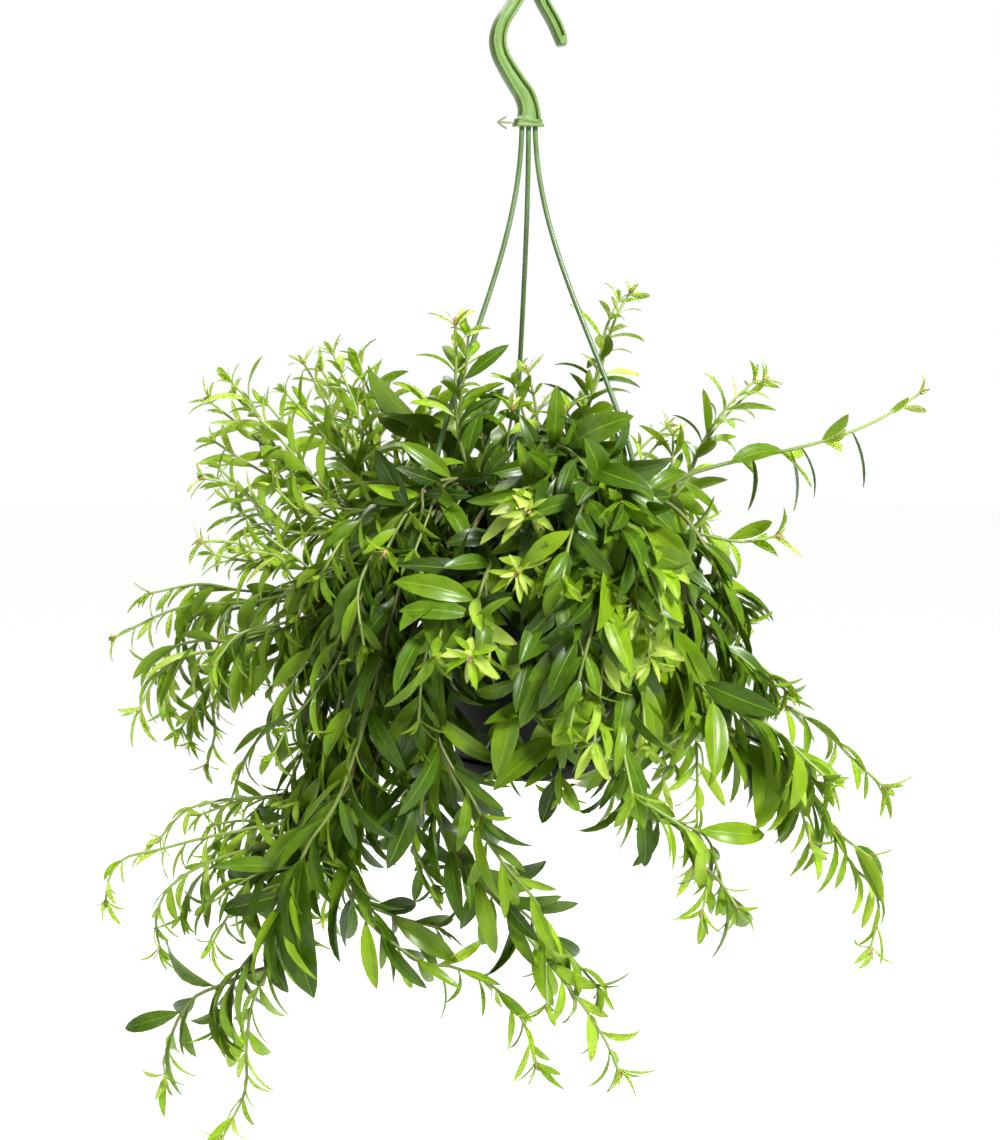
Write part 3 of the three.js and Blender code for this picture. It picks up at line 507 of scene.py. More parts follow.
# The three rods: stiff round mouldings in green plastic, plugged into the sockets under the hook's foot.
# Each spreads to the pot's rim, passes through a hole in it and bears on it from below by a barbed foot.
ROD_WIDTH = 2.9
ROD_STEPS = 70
ROD_SIDES = 20
RODS = {"left": (-4, 216), "back": (0, 96), "right": (4, 336)}
ROD_TOP = -75.6
ROD_END = -301.5
ROD_PLUG = (-70.2, -75)
RIM_HOLE_RADIUS = 70.35
RIM_TOP = -306
BARB_TOP = -308.5
BARB_PROFILE = [(1, 0), (2.1, 0), (2.4, -0.5), (2.1, -2), (1.4, -4.5), (0.8, -6.1), (0.4, -6.5)]
ROD_GREEN = shade(80, 107, 58)
ROD_GREEN_WORN = shade(92, 120, 71)
UP = np.array((0.0, 0, 1))


def around(radius, bearing, z):
    """A place at a radius and a bearing in degrees from the right, counter-clockwise seen from above."""
    angle = math.radians(bearing)
    return np.array((radius * math.cos(angle), radius * math.sin(angle), z))


def rod_line(offset, bearing):
    """From the socket at its offset from the hook's middle to the rim at its bearing. The spread from top
    to foot goes a tenth by the share of the height and nine tenths by its eased value, so the rod leaves
    both ends nearly upright."""
    top = about_z(np.array([[offset, 0, 0]], dtype=float), HOOK_TURN)[0]
    foot = around(RIM_HOLE_RADIUS, bearing, 0)
    share = np.linspace(0, 1, ROD_STEPS)
    spread = (share + 0.9 * (eased(share ** 1.06) - share))[:, None]
    rod = top * (1 - spread) + foot * spread
    rod[:, 2] = ROD_TOP + (ROD_END - ROD_TOP) * share
    plug = top + UP * np.linspace(*ROD_PLUG, 5)[:, None]
    shank = foot + UP * np.linspace(ROD_END - 0.6, BARB_TOP, 5)[:, None]
    return np.concatenate((plug, rod, shank))


rod_lines = [rod_line(offset, bearing) for offset, bearing in RODS.values()]
rod_finish = plastic("rod_plastic", ROD_GREEN, ROD_GREEN_WORN, 0.36, 14, coat=0.1)
barb_radii, barb_drops = np.array(BARB_PROFILE).T
for rod_name, line in zip(RODS, rod_lines):
    rod = tube(line, np.full(len(line), ROD_WIDTH / 2), ROD_SIDES)
    rim_hole = around(RIM_HOLE_RADIUS, RODS[rod_name][1], BARB_TOP)
    barb = tube(rim_hole + UP * barb_drops[:, None], barb_radii, ROD_SIDES)
    rod_skins = [skin(rod), skin(barb)]
    piece("rod_" + rod_name, rod_skins, [rod_finish], ["strand_" + rod_name])

# The pot: a thin injection-moulded wall in near-black plastic, wider towards a flanged rim with a skirt that
# hangs from it. Its foot stands in a shallow drip tray of the same plastic.
POT_SEGMENTS = 144
POT_OUTSIDE = [
    (0, -436.9), (39.4, -436.9), (40.1, -436.5), (41.2, -429), (47, -410), (55.5, -375), (62, -340),
    (66.4, -316), (67, -309.2), (67.8, -308.2), (73, -308.2), (73.3, -308.6), (73.3, -315.2), (73.6, -315.5),
    (74.7, -315.5), (75, -315.2), (75, -306.9), (74.7, -306.25), (74.1, -306), (66.2, -306), (65.4, -306.4)
]
POT_INSIDE = [
    (64.6, -316), (60.2, -340), (53.7, -375), (45.2, -410), (39.4, -429), (38.6, -434.9), (0, -434.9)
]
TRAY_PROFILE = [
    (0, -438.7), (40.6, -438.7), (42, -438.2), (43, -436.7), (43.9, -430.8), (43.8, -430.3), (43.4, -430.2),
    (42.9, -430.2), (42.4, -430.5), (41.4, -437.2), (0, -437.2)
]
POT_BLACK = shade(13, 15, 15)
POT_BLACK_WORN = shade(24, 27, 26)


def turned_rings(profile, segments):
    """A profile of radius and height turned round the upright axis, as a ring for each of its points."""
    turn = np.linspace(0, 2 * math.pi, segments, endpoint=False)
    radius, height = np.array(profile, dtype=float).T[..., None]
    return np.stack((radius * np.cos(turn), radius * np.sin(turn), height + 0 * turn), axis=-1)


def lathe(profile, segments):
    """A profile turned round the upright axis, and closed at both ends on it."""
    rings = turned_rings(profile, segments)
    middle = rings[1:-1]
    places, faces = skin(middle, (False, False))
    count = len(places)
    places = np.concatenate((places, rings[0, :1], rings[-1, :1]))
    low = np.arange(segments)
    high = low + len(middle) * segments - segments
    faces += np.stack((np.roll(low, -1), low, np.full(segments, count)), axis=1).tolist()
    faces += np.stack((high, np.roll(high, -1), np.full(segments, count + 1)), axis=1).tolist()
    return places, faces


pot_finish = plastic("pot_plastic", POT_BLACK, POT_BLACK_WORN, 0.5, 22, gloss=0.2)
pot_skins = [lathe(POT_OUTSIDE + POT_INSIDE, POT_SEGMENTS)]
tray_skins = [lathe(TRAY_PROFILE, POT_SEGMENTS)]
piece("pot_shell", pot_skins, [pot_finish], ["pot"], sharp=35)
piece("tray_shell", tray_skins, [pot_finish], ["drip_tray"], sharp=35)

# The soil: dark peaty compost that fills the pot to just under its rim, in crumbs, with white grains of
# perlite. The stems stand in it.
SOIL_TOP = -318
SOIL_MIDDLE = SOIL_TOP - 1.2
SOIL_RADIUS = 63.2
SOIL_SIDE = [(37.5, -434.5), (44.6, -410), (53.1, -375), (59.6, -340), (SOIL_RADIUS, -321)]
SOIL_HEAPS = 1.2
SOIL_RINGS = 36
SOIL_SEGMENTS = 96
CRUMBS = 420
PERLITE = 70
GRAIN_REACH = 61
GRAIN_RING = np.array([(math.cos(a), math.sin(a), 0) for a in np.arange(6) * math.pi / 3])
GRAIN_END = (0.5, 0.5, 0)
GRAIN_HALF = (0, 0, 0.8)
SOIL_BROWN = shade(44, 32, 24)
SOIL_BROWN_DRY = shade(84, 64, 46)
PERLITE_WHITE = shade(214, 210, 200)
PERLITE_DRY = (0.9, 0.9, 0.9, 1)
dice = np.random.default_rng(31)


def heaps(x, y):
    """A lumpy surface: the sum of nine waves in many directions, each a sine of the place along it."""
    total = 0 * x
    for wave in range(1, 10):
        angle = 2.4 * wave
        total = total + np.sin((x * math.cos(angle) + y * math.sin(angle)) * 0.07 * wave + wave) / wave
    return total


soil_radii = np.linspace(SOIL_RADIUS, 0.5, SOIL_RINGS)
soil_turn = np.linspace(0, 2 * math.pi, SOIL_SEGMENTS, endpoint=False)
top_x = soil_radii[:, None] * np.cos(soil_turn)
top_y = soil_radii[:, None] * np.sin(soil_turn)
soil_top = SOIL_MIDDLE + SOIL_HEAPS * heaps(top_x, top_y) * eased((63.4 - soil_radii) / 8)[:, None]
top_rings = np.stack((top_x, top_y, soil_top), axis=-1)
soil_rings = np.concatenate((turned_rings(SOIL_SIDE, SOIL_SEGMENTS), top_rings))


def grains(count, least, most):
    """Small lumps that lie on the soil. Each is three six-sided rings, drawn in at top and bottom, pushed
    about at random and turned."""
    end = GRAIN_RING * GRAIN_END
    rings = np.stack((end - GRAIN_HALF, GRAIN_RING, end + GRAIN_HALF))
    skins = []
    for _ in range(count):
        size = dice.uniform(least, most)
        radius = GRAIN_REACH * math.sqrt(dice.uniform(0, 1))
        x, y, _ = around(radius, dice.uniform(0, 360), 0)
        z = SOIL_MIDDLE + SOIL_HEAPS * heaps(x, y)
        lump = rings * size * dice.uniform(0.7, 1.3, 3) + dice.normal(0, 0.1 * size, rings.shape)
        spots, faces = skin(about_z(lump.reshape(-1, 3), dice.uniform(0, 6)).reshape(rings.shape))
        skins.append((spots + (x, y, min(z, SOIL_TOP + 1) + 0.2 * size), faces))
    return skins


def earth(name, colour, dry, peel):
    """A crumbly matt finish that goes from its colour to a dry one by the noise's height."""
    finish = Finish(name)
    lumps = finish.noise(3.2, 8)
    return finish.done(finish.surface(
        Base_Color=finish.mix(finish.ramp(lumps, 0.35, 0.65), colour, dry),
        Roughness=lumps * 0.2 + 0.78,
        Normal=finish.relief(lumps, peel)
    ))


soil_finishes = [
    earth("peat", SOIL_BROWN, SOIL_BROWN_DRY, 1.2),
    earth("perlite", PERLITE_WHITE, PERLITE_DRY, 0.4)
]
crumbs = grains(CRUMBS, 0.8, 2.2)
perlite = grains(PERLITE, 0.7, 1.7)
soil_skins = [skin(soil_rings), *crumbs, *perlite]
soil_wears = [0] * (1 + len(crumbs)) + [1] * len(perlite)
piece("compost", soil_skins, soil_finishes, ["soil"], sharp=60, wears=soil_wears)

# The plant: fifty-two trailing stems that stand in the soil and hang or arch over the rim, each with waxy
# pointed leaves in opposite pairs and a tuft of young ones at its tip. A row has the ring and bearing of
# the root, the leaf length, how much the leaves droop, the side twigs and their spread, how pale the stem
# is (a paleness that is partly young growth and partly painted backlight glow), how much paler its tip,
# the points from the soil out to the tip, and what few stems have: broader leaves, a share of them kept,
# branches, and more leaves, placed one by one.
STEMS = {
    "left": [
        ((40, 165), 30, 0.15, 6, 26, 0.5, 0.5, [(-50, 14, -288), (-92, 28, -295), (-128, 34, -277),
         (-158, 40, -251), (-186, 46, -229)], {}),
        ((22, 145), 28, 0.1, 6, 26, 0.5, 0.5, [(-34, 26, -276), (-60, 42, -278), (-91, 58, -284),
         (-108, 64, -261), (-122, 70, -226), (-133, 74, -207)], {}),
        ((40, 142.5), 30, 0.1, 6, 26, 0.48, 0.5, [(-48, 44, -284), (-70, 70, -280), (-87, 84, -269),
         (-99, 88, -243), (-113, 92, -228), (-124, 95, -211)], {}),
        ((40, 187.5), 28, 0.2, 6, 26, 0.45, 0.5, [(-54, -4, -286), (-80, 2, -292), (-104, 8, -302),
         (-136, 10, -303), (-152, 8, -289), (-167, 6, -276), (-184, 4, -272)], {}),
        ((56, 180), 30, 0.35, 4, 20, 0.42, 0.5, [(-68, -2, -295), (-86, -6, -306), (-108, -12, -321),
         (-134, -14, -321), (-152, -16, -312), (-165, -18, -307), (-182, -20, -306)], {}),
        ((56, 150), 32, 0.6, 4, 26, 0.3, 0.5, [(-59, 33, -295), (-80, 38, -306), (-110, 38, -330),
         (-156, 36, -345), (-192, 34, -347), (-212, 33, -352), (-241, 32, -366)], {}),
        ((56, 165), 26, 0.5, 5, 26, 0.3, 0.5, [(-66, 18, -295), (-88, 20, -311), (-112, 18, -344),
         (-125, 15, -366), (-157, 13, -382), (-174, 12, -390), (-182, 12, -403), (-181, 12, -420),
         (-186, 12, -438)],
         {"branches": [[(-125, 15, -366), (-137, 9, -392), (-151, 2, -416), (-163, -2, -434),
         (-170, -4, -456)]]}),
        ((56, 195), 38, 0.7, 5, 26, 0.28, 0.5, [(-66, -18, -295), (-84, -24, -308), (-103, -30, -334),
         (-127, -30, -350), (-163, -28, -364), (-191, -27, -370), (-208, -26, -381),
         (-218, -26, -399)], {}),
        ((56, 210), 28, 0.4, 6, 30, 0.3, 0.5, [(-59, -35, -295), (-76, -46, -309), (-92, -56, -345),
         (-98, -62, -400), (-113, -62, -436), (-140, -60, -443), (-170, -58, -446), (-189, -57, -452),
         (-203, -56, -467)], {}),
        ((40, 210), 28, 0.7, 4, 30, 0.25, 0.5, [(-50, -30, -286), (-74, -45, -290), (-96, -62, -330),
         (-110, -76, -395), (-127, -85, -447), (-151, -86, -456), (-175, -86, -461), (-201, -85, -468),
         (-217, -84, -472), (-226, -84, -481), (-229, -84, -496)], {}),
        ((22, 235), 32, 0.7, 6, 24, 0.2, 0.5, [(-34, -36, -272), (-66, -62, -288), (-92, -84, -335),
         (-104, -92, -400), (-122, -98, -454), (-146, -99, -463), (-172, -99, -472), (-191, -98, -484),
         (-199, -97, -498), (-200, -96, -509), (-198, -96, -519)], {}),
        ((56, 225), 34, 0.5, 6, 24, 0.15, 0.5, [(-49, -49, -295), (-63, -62, -309), (-76, -76, -345),
         (-92, -88, -415), (-106, -98, -462), (-122, -106, -478), (-141, -110, -484), (-156, -110, -493),
         (-168, -110, -512)], {}),
        ((40, 232.5), 38, 0.4, 4, 22, 0.15, 0.55, [(-36, -48, -284), (-56, -72, -292), (-72, -92, -335),
         (-84, -106, -385), (-100, -120, -432), (-116, -124, -457), (-126, -126, -483), (-130, -126, -505),
         (-137, -126, -521), (-146, -126, -542), (-149, -126, -566), (-150, -126, -588),
         (-162, -125, -613)],
         {"branches": [[(-137, -126, -521), (-148, -125, -525), (-161, -124, -531), (-176, -123, -538),
         (-185, -122, -550), (-190, -121, -564), (-192, -120, -580)]], "more": [
         (0, 0.62, -117, -130, -536, 0.2, 1.4)]}),
        ((56, 240), 38, 0.4, 3, 20, 0.12, 0.45, [(-35, -60, -295), (-46, -77, -308), (-62, -90, -345),
         (-80, -96, -410), (-92, -97, -465), (-98, -95, -485), (-91, -92, -500), (-76, -90, -516),
         (-57, -88, -529), (-41, -86, -532), (-23, -84, -541), (-10, -82, -553), (-2, -81, -567),
         (4, -80, -587)],
         {"broad": 0.85})
    ],
    "low": [
        ((56, 255), 39, 0.4, 3, 18, 0.1, 0.5, [(-18, -66, -295), (-26, -84, -309), (-38, -98, -345),
         (-48, -102, -400), (-50, -101, -440), (-42, -100, -464), (-26, -98, -483), (-4, -96, -509),
         (14, -95, -532), (30, -94, -553), (41, -93, -571), (48, -92, -587)],
         {"more": [(0, 0.34, -65, -112, -399, 0.2, 0.7), (0, 0.39, -72, -114, -421, 0.25, 0.75),
         (0, 0.43, -82, -112, -432, 0.2, 0.75), (0, 0.5, -83, -110, -451, 0.15, 0.7),
         (0, 0.52, -58, -108, -458, 0.2, 0.7), (0, 0.38, -37, -112, -439, 0, 0.8)]}),
        ((40, 255), 40, 0.5, 2, 12, 0.08, 0.45, [(-16, -58, -284), (-28, -84, -290), (-42, -108, -325),
         (-50, -119, -392), (-33, -120, -437), (-15, -118, -467), (4, -116, -491), (7, -115, -514),
         (9, -114, -545)],
         {"broad": 0.8, "keep": 0.8})
    ],
    "back": [
        ((56, 30), 38, 0.4, 1, 14, 0.05, 0.7, [(59, 34, -295), (76, 44, -309), (92, 54, -345),
         (100, 58, -400), (102, 56, -445), (102, 52, -480), (100, 48, -505)], {}),
        ((56, 45), 38, 0.4, 1, 14, 0.05, 0.7, [(49, 49, -295), (62, 62, -309), (74, 74, -345),
         (82, 84, -395), (84, 86, -430), (84, 86, -460)], {}),
        ((56, 60), 38, 0.4, 3, 24, 0.05, 0.7, [(34, 58, -294), (44, 76, -308), (52, 90, -340),
         (56, 100, -380), (56, 104, -420)], {}),
        ((56, 75), 38, 0.4, 3, 24, 0.05, 0.7, [(18, 66, -295), (24, 84, -308), (28, 100, -335),
         (30, 112, -370), (30, 118, -405)], {}),
        ((56, 90), 38, 0.4, 3, 24, 0.05, 0.7, [(0, 68, -295), (-1, 86, -308), (-2, 104, -340),
         (-2, 116, -385), (-2, 120, -425)], {}),
        ((56, 105), 38, 0.4, 3, 24, 0.05, 0.7, [(-18, 66, -295), (-24, 84, -309), (-30, 100, -340),
         (-34, 110, -385), (-36, 114, -420)], {}),
        ((56, 120), 38, 0.4, 3, 24, 0.05, 0.7, [(-35, 60, -295), (-45, 76, -310), (-56, 90, -350),
         (-64, 98, -410), (-68, 100, -455), (-70, 98, -490)], {}),
        ((56, 135), 38, 0.4, 3, 24, 0.05, 0.7, [(-49, 49, -295), (-63, 62, -310), (-80, 74, -350),
         (-96, 80, -410), (-108, 80, -460), (-116, 76, -505), (-120, 72, -540)], {}),
        ((40, 30), 34, 0.3, 0, 14, 0.1, 0.7, [(46, 28, -284), (68, 42, -278), (90, 56, -284),
         (104, 66, -300)], {}),
        ((40, 52.5), 36, 0.3, 1, 16, 0.1, 0.7, [(34, 44, -282), (50, 64, -274), (66, 84, -280),
         (78, 100, -302), (84, 110, -332)], {}),
        ((40, 75), 36, 0.3, 2, 18, 0.1, 0.7, [(14, 52, -280), (22, 76, -270), (30, 98, -276),
         (36, 116, -298), (40, 128, -330)], {}),
        ((40, 90), 36, 0.3, 2, 18, 0.1, 0.7, [(0, 54, -282), (2, 78, -272), (3, 100, -276), (4, 122, -292),
         (4, 140, -322)], {}),
        ((40, 120), 36, 0.3, 2, 18, 0.1, 0.7, [(-28, 48, -282), (-42, 74, -274), (-54, 96, -280),
         (-64, 112, -302), (-72, 124, -332)], {})
    ],
    "right": [
        ((40, 7.5), 34, 0.4, 0, 8, 0.35, 0.7, [(54, 8, -286), (74, 12, -280), (93, 14, -270),
         (122, 16, -262), (151, 17, -256), (180, 18, -248), (203, 18, -238), (225, 18, -224)],
         {"keep": 0.35, "more": [(0, 0.615, 116, 4, -264, 0.45, 1.5), (0, 0.53, 126, 8, -290, 0.3, 0.9),
         (0, 0.63, 152, 8, -291, 0.3, 0.9), (0, 0.66, 164, 10, -283, 0.3, 0.6),
         (0, 0.8, 192, 10, -277, 0.35, 0.7), (0, 0.71, 184, 12, -237, 0.3, 1.4),
         (0, 0.9, 218, 14, -226, 0.4, 1.1)]}),
        ((56, 15), 28, 0.1, 1, 12, 0.42, 0.7, [(63, 19, -294), (76, 28, -290), (91, 34, -278),
         (102, 38, -255), (119, 42, -234), (138, 45, -217)],
         {"branches": [[(76, 28, -290), (83, 24, -268), (84, 22, -248)]]}),
        ((22, 10), 26, 0.3, 1, 8, 0.35, 0.7, [(24, 6, -284), (25, 8, -261), (33, 10, -235), (41, 12, -212),
         (46, 13, -192), (52, 14, -177), (58, 15, -167)],
         {"more": [(0, 0.53, 9, 4, -218, 0.4, 0.7), (0, 0.33, 43, 0, -250, 0.45, 1.5)]}),
        ((22, 55), 22, 0.2, 1, 12, 0.3, 0.7, [(28, 28, -280), (49, 40, -277), (60, 43, -264),
         (72, 45, -251), (82, 46, -244)],
         {"more": [(0, 0.585, 48, 36, -249, 0.5, 1.6)]}),
        ((56, 0), 34, 0.2, 0, 12, 0.35, 0.4, [(67, -2, -295), (84, -5, -303), (97, -8, -303),
         (112, -10, -306), (123, -12, -307), (139, -12, -304)], {}),
        ((56, 345), 40, 0.4, 1, 12, 0.2, 0.4, [(66, -18, -295), (80, -22, -306), (92, -26, -324),
         (107, -28, -337), (118, -28, -350)],
         {"broad": 1.25, "more": [(0, 0.35, 107, -40, -328, 0.35, 1.4),
         (0, 0.6, 118, -42, -357, 0.35, 1.4), (0, 0.8, 133, -36, -349, 0.35, 1.2)]}),
        ((56, 330), 38, 0.5, 0, 12, 0.15, 0.4, [(59, -35, -295), (74, -44, -308), (88, -50, -334),
         (98, -52, -354), (113, -52, -366), (128, -52, -373), (141, -52, -386)],
         {"more": [(0, 0.3, 90, -75, -336, 0.05, 0.9)]}),
        ((40, 345), 36, 0.5, 0, 12, 0.2, 0.4, [(54, -14, -284), (80, -22, -286), (102, -34, -316),
         (114, -38, -356), (130, -40, -388), (150, -40, -400), (167, -40, -412), (179, -40, -425),
         (197, -40, -441)],
         {"keep": 0.85}),
        ((40, 322.5), 38, 0.5, 1, 20, 0.2, 0.4, [(46, -35, -284), (66, -50, -290), (82, -62, -325),
         (92, -68, -366), (110, -74, -391), (132, -77, -417), (150, -78, -438), (162, -78, -456),
         (175, -78, -478), (186, -77, -489), (190, -76, -504), (186, -75, -524)],
         {"keep": 0.9, "branches": [[(162, -78, -456), (171, -82, -463), (182, -84, -471)]]}),
        ((56, 315), 42, 0.5, 3, 18, 0.25, 0.4, [(49, -49, -295), (62, -62, -308), (74, -74, -345),
         (88, -84, -385), (104, -88, -404), (131, -91, -421), (143, -92, -440), (150, -92, -462)],
         {"broad": 1.25}),
        ((56, 300), 38, 0.5, 4, 22, 0.25, 0.4, [(35, -60, -295), (44, -76, -308), (50, -92, -345),
         (48, -104, -390), (46, -110, -420), (58, -112, -435), (79, -112, -449), (89, -112, -458),
         (92, -111, -472), (93, -110, -485), (91, -110, -495)],
         {"branches": [[(50, -92, -345), (58, -104, -375), (60, -116, -404)], [(92, -111, -472),
         (99, -113, -478), (108, -115, -491)]]})
    ],
    "top": [
        ((22, 280), 30, 0, 1, 10, 0.15, 0.7, [(-14, -32, -284), (-34, -44, -262), (-40, -47, -232),
         (-40, -48, -207), (-40, -49, -186)], {}),
        ((22, 100), 28, 0.1, 1, 10, 0.2, 0.7, [(2, 16, -286), (6, 12, -262), (5, 8, -238), (3, 7, -224),
         (0, 6, -212)],
         {"more": [(0, 0.5, 14, 8, -236, 0.4, 1.7)]}),
        ((22, 190), 50, 0.1, 1, 14, 0, 0.7, [(-36, 4, -284), (-50, 12, -268), (-56, 14, -251),
         (-56, 16, -232)],
         {"broad": 1.25, "more": [(0, 0.85, -91, 4, -208, 0, 1.2), (0, 0.8, -84, -5, -235, 0, 1.1),
         (0, 0.95, -30, -15, -248, 0.3, 1.1)]}),
        ((0, 0), 36, 0.1, 1, 14, 0, 0.7, [(-4, -2, -286), (-12, -6, -258), (-9, -10, -234)], {}),
        ((22, 325), 34, 0.1, 1, 14, 0, 0.7, [(22, -14, -286), (23, -18, -262), (22, -20, -250),
         (20, -22, -234)], {})
    ],
    "front": [
        ((56, 270), 34, 0.2, 2, 18, 0.1, 0.7, [(-4, -67, -296), (-14, -90, -300), (-24, -116, -318),
         (-30, -136, -340), (-31, -152, -354)],
         {"broad": 1.25, "more": [(0, 0.74, -70, -128, -317, 0.2, 1.15),
         (0, 0.8, -67, -132, -332, 0.3, 1.2), (0, 0.6, -69, -118, -313, 0.05, 1),
         (0, 0.86, -10, -150, -324, 0.45, 0.8), (0, 0.84, -15, -140, -351, 0.15, 1.1),
         (0, 0.75, -9, -138, -325, 0.15, 1), (0, 0.85, -50, -138, -364, 0.1, 0.9),
         (0, 0.99, -46, -156, -354, 0.8, 1.3), (0, 0.99, -43, -155, -363, 0.6, 1.4),
         (0, 0.995, -29, -158, -371, 0.85, 1.3), (0, 0.995, -17, -157, -366, 0.85, 1.3),
         (0, 0.995, -17, -158, -348, 0.8, 1.4), (0, 0.98, -39, -157, -343, 0.7, 1.2)]}),
        ((40, 277.5), 30, 0.1, 1, 12, 0.08, 0.7, [(6, -56, -284), (4, -84, -276), (2, -108, -276),
         (-1, -128, -282)],
         {"more": [(0, 0.9, -21, -128, -284, 0.9, 1.2), (0, 0.99, -10, -134, -275, 0.95, 1.2),
         (0, 0.995, 8, -134, -276, 0.95, 1.1), (0, 0.99, 5, -130, -297, 0.8, 1),
         (0, 0.95, -14, -130, -300, 0.85, 1.2), (0, 0.85, -26, -118, -300, 0.7, 1)]}),
        ((56, 285), 28, 0.1, 1, 12, 0.1, 0.7, [(14, -66, -296), (8, -94, -297), (0, -118, -304),
         (-7, -142, -313)],
         {"more": [(0, 0.99, -11, -146, -303, 0.9, 1.1), (0, 0.97, 10, -142, -306, 0.6, 0.9),
         (0, 0.99, 6, -144, -325, 0.6, 0.9), (0, 0.99, -5, -148, -328, 0.7, 1.1),
         (0, 0.97, -20, -142, -324, 0.5, 1)]}),
        ((40, 300), 36, 0.2, 3, 20, 0.15, 0.7, [(28, -50, -284), (38, -80, -284), (44, -104, -297),
         (51, -134, -328)],
         {"broad": 1.25, "branches": [[(44, -104, -297), (56, -114, -325), (61, -126, -358)]], "more": [
         (0, 0.97, 24, -142, -310, 0.5, 0.9), (0, 0.9, 16, -132, -318, 0.2, 1),
         (0, 0.93, 22, -138, -325, 0.25, 1), (0, 0.97, 54, -140, -309, 0.5, 1),
         (0, 0.97, 72, -140, -327, 0.35, 1.1), (0, 0.92, 78, -130, -331, 0.2, 1),
         (0, 0.96, 77, -136, -342, 0.3, 1), (0, 0.99, 70, -142, -349, 0.4, 1.1),
         (0, 0.97, 33, -142, -352, 0.35, 1), (0, 0.995, 50, -144, -347, 0.9, 1.2),
         (0, 0.49, 22, -100, -305, 0, 1.3), (0, 0.55, 34, -112, -318, 0.05, 1.2),
         (1, 0.99, 75, -132, -356, 0.85, 1.1), (1, 0.99, 57, -136, -342, 0.85, 1),
         (1, 0.97, 42, -134, -348, 0.8, 1.1), (1, 0.99, 53, -134, -368, 0.8, 1.1),
         (1, 0.995, 67, -134, -370, 0.9, 1)]}),
        ((31, 300), 38, 0.3, 5, 26, 0.08, 0.7, [(22, -48, -270), (30, -84, -262), (36, -118, -280),
         (38, -138, -320), (36, -146, -360), (32, -146, -400)],
         {"broad": 1.25, "more": [(0, 0.62, 5, -138, -299, 0.1, 1.1), (0, 0.87, 12, -152, -400, 0.3, 1.4),
         (0, 0.97, 42, -148, -392, 0.6, 1), (0, 0.98, 12, -150, -402, 0.6, 1),
         (0, 0.995, 22, -148, -418, 0.7, 1.1), (0, 0.99, 37, -148, -414, 0.6, 1)]}),
        ((31, 245), 32, 0.1, 3, 24, 0, 0.7, [(-26, -46, -276), (-48, -66, -270), (-64, -82, -284),
         (-76, -92, -305)],
         {"more": [(0, 0.8, -81, -75, -252, 0, 1.25)]}),
        ((31, 268), 40, 0.3, 4, 28, 0.1, 0.4, [(4, -52, -270), (10, -86, -262), (14, -116, -282),
         (16, -130, -325), (16, -132, -375), (15, -122, -428)],
         {"broad": 1.2, "more": [(0, 0.89, -21, -136, -424, 0.15, 1.2),
         (0, 0.93, -2, -138, -425, 0.15, 1.2), (0, 0.82, -24, -138, -390, 0.25, 1.1),
         (0, 0.71, -6, -142, -392, 0.2, 1.2), (0, 0.68, -11, -142, -362, 0.2, 1.3),
         (0, 0.97, 24, -124, -440, 0.25, 1), (0, 0.97, 5, -118, -446, 0, 1.5)]})
    ]
}
STEM_ROOT_DEPTH = 12
STEM_ROOT_RADIUS = 1.5
STEM_TIP_RADIUS = 0.75
BRANCH_RADIUS = 1.125
TWIG_RADIUS = 0.9
STEM_RING_STEP = 6
STEM_SIDES = 8
BUD = [(0.7, 1.2), (2, 1.5), (3.6, 1.1), (4.8, 0.2)]
LEAF_PITCH = 12
LEAF_LEAN = 1.15
LEAF_LEAN_LOST = 0.45
LEAF_LEAN_PLAY = 0.4
LEAF_TURN_PLAY = 0.7
LEAF_ROLL_PLAY = 2.1
LEAF_BEND = (0.35, 0.85)
LEAF_WIDTH = 0.26
LEAF_FOLD = (0.12, 0.38)
LEAF_PLUMP = 0.45
LEAF_RIPPLE = 0.05
LEAF_TWIST = 1.1
LEAF_SWAY = 0.16
YOUNG_THINNER = 0.7
YOUNG_NARROWER = 0.25
LEAF_STATIONS = np.array([0, 0.06, 0.14, 0.28, 0.44, 0.6, 0.76, 0.9, 1])
LEAF_ACROSS = np.array([-1, -0.5, 0, 0.5, 1, 0])
LEAF_UNDER = np.array([0.5, 0, 0, 0, 0.5, 1.0])
STALK_HALF = 0.55
LEAF_KEEL = 0.9
TUFT_LEAN = np.array([0.85, 0.75, 0.6, 0.5, 0.3, 0.2])
TUFT_SIZE = np.array([0.52, 0.5, 0.4, 0.36, 0.26, 0.22])
TUFT_YOUTH = np.linspace(0.95, 1.4, 6)
BARE_FOOT = 24
BARE_BRANCH = 8
BARE_TWIG = 4
TWIG_POINTS = 5
TWIG_LENGTH = (55, 75)
TWIG_YOUTH = 0.55
SHRUNK = 0.55
LINE_SEEDS = 100
POT_CLEAR = 5
POT_TOUCH = 0.5
POT_MOUTH = 64
RIM_OVER = 9
RIM_BAND = 8
ROD_CLEAR = 0.7
POT_KEEP_OUT = [
    (-439, 0), (-438.7, 44), (-430, 44), (-410, 47), (-375, 55.5), (-340, 62), (-316, 66.6), (-315.5, 75)
]
BOX_LOW, BOX_HIGH = np.array(cad_box) / MM
BOX_PLAY = (BOX_HIGH - BOX_LOW) * 0.01
BOX_MARGIN = 2
LEAF_AGES = [
    (0.0, shade(28, 48, 6)),
    (0.3, shade(64, 96, 10)),
    (0.6, shade(122, 154, 22)),
    (0.85, shade(174, 190, 90)),
    (1.0, shade(202, 208, 140))
]
LEAF_RIB = shade(142, 174, 50)
LEAF_BELOW = shade(110, 136, 40)
YOUNG_FROM = 0.45
STEM_GREEN = shade(110, 130, 56)
STEM_BROWN = shade(92, 74, 44)
STEM_PALE = shade(150, 172, 88)
BUD_PINK = shade(168, 132, 84)


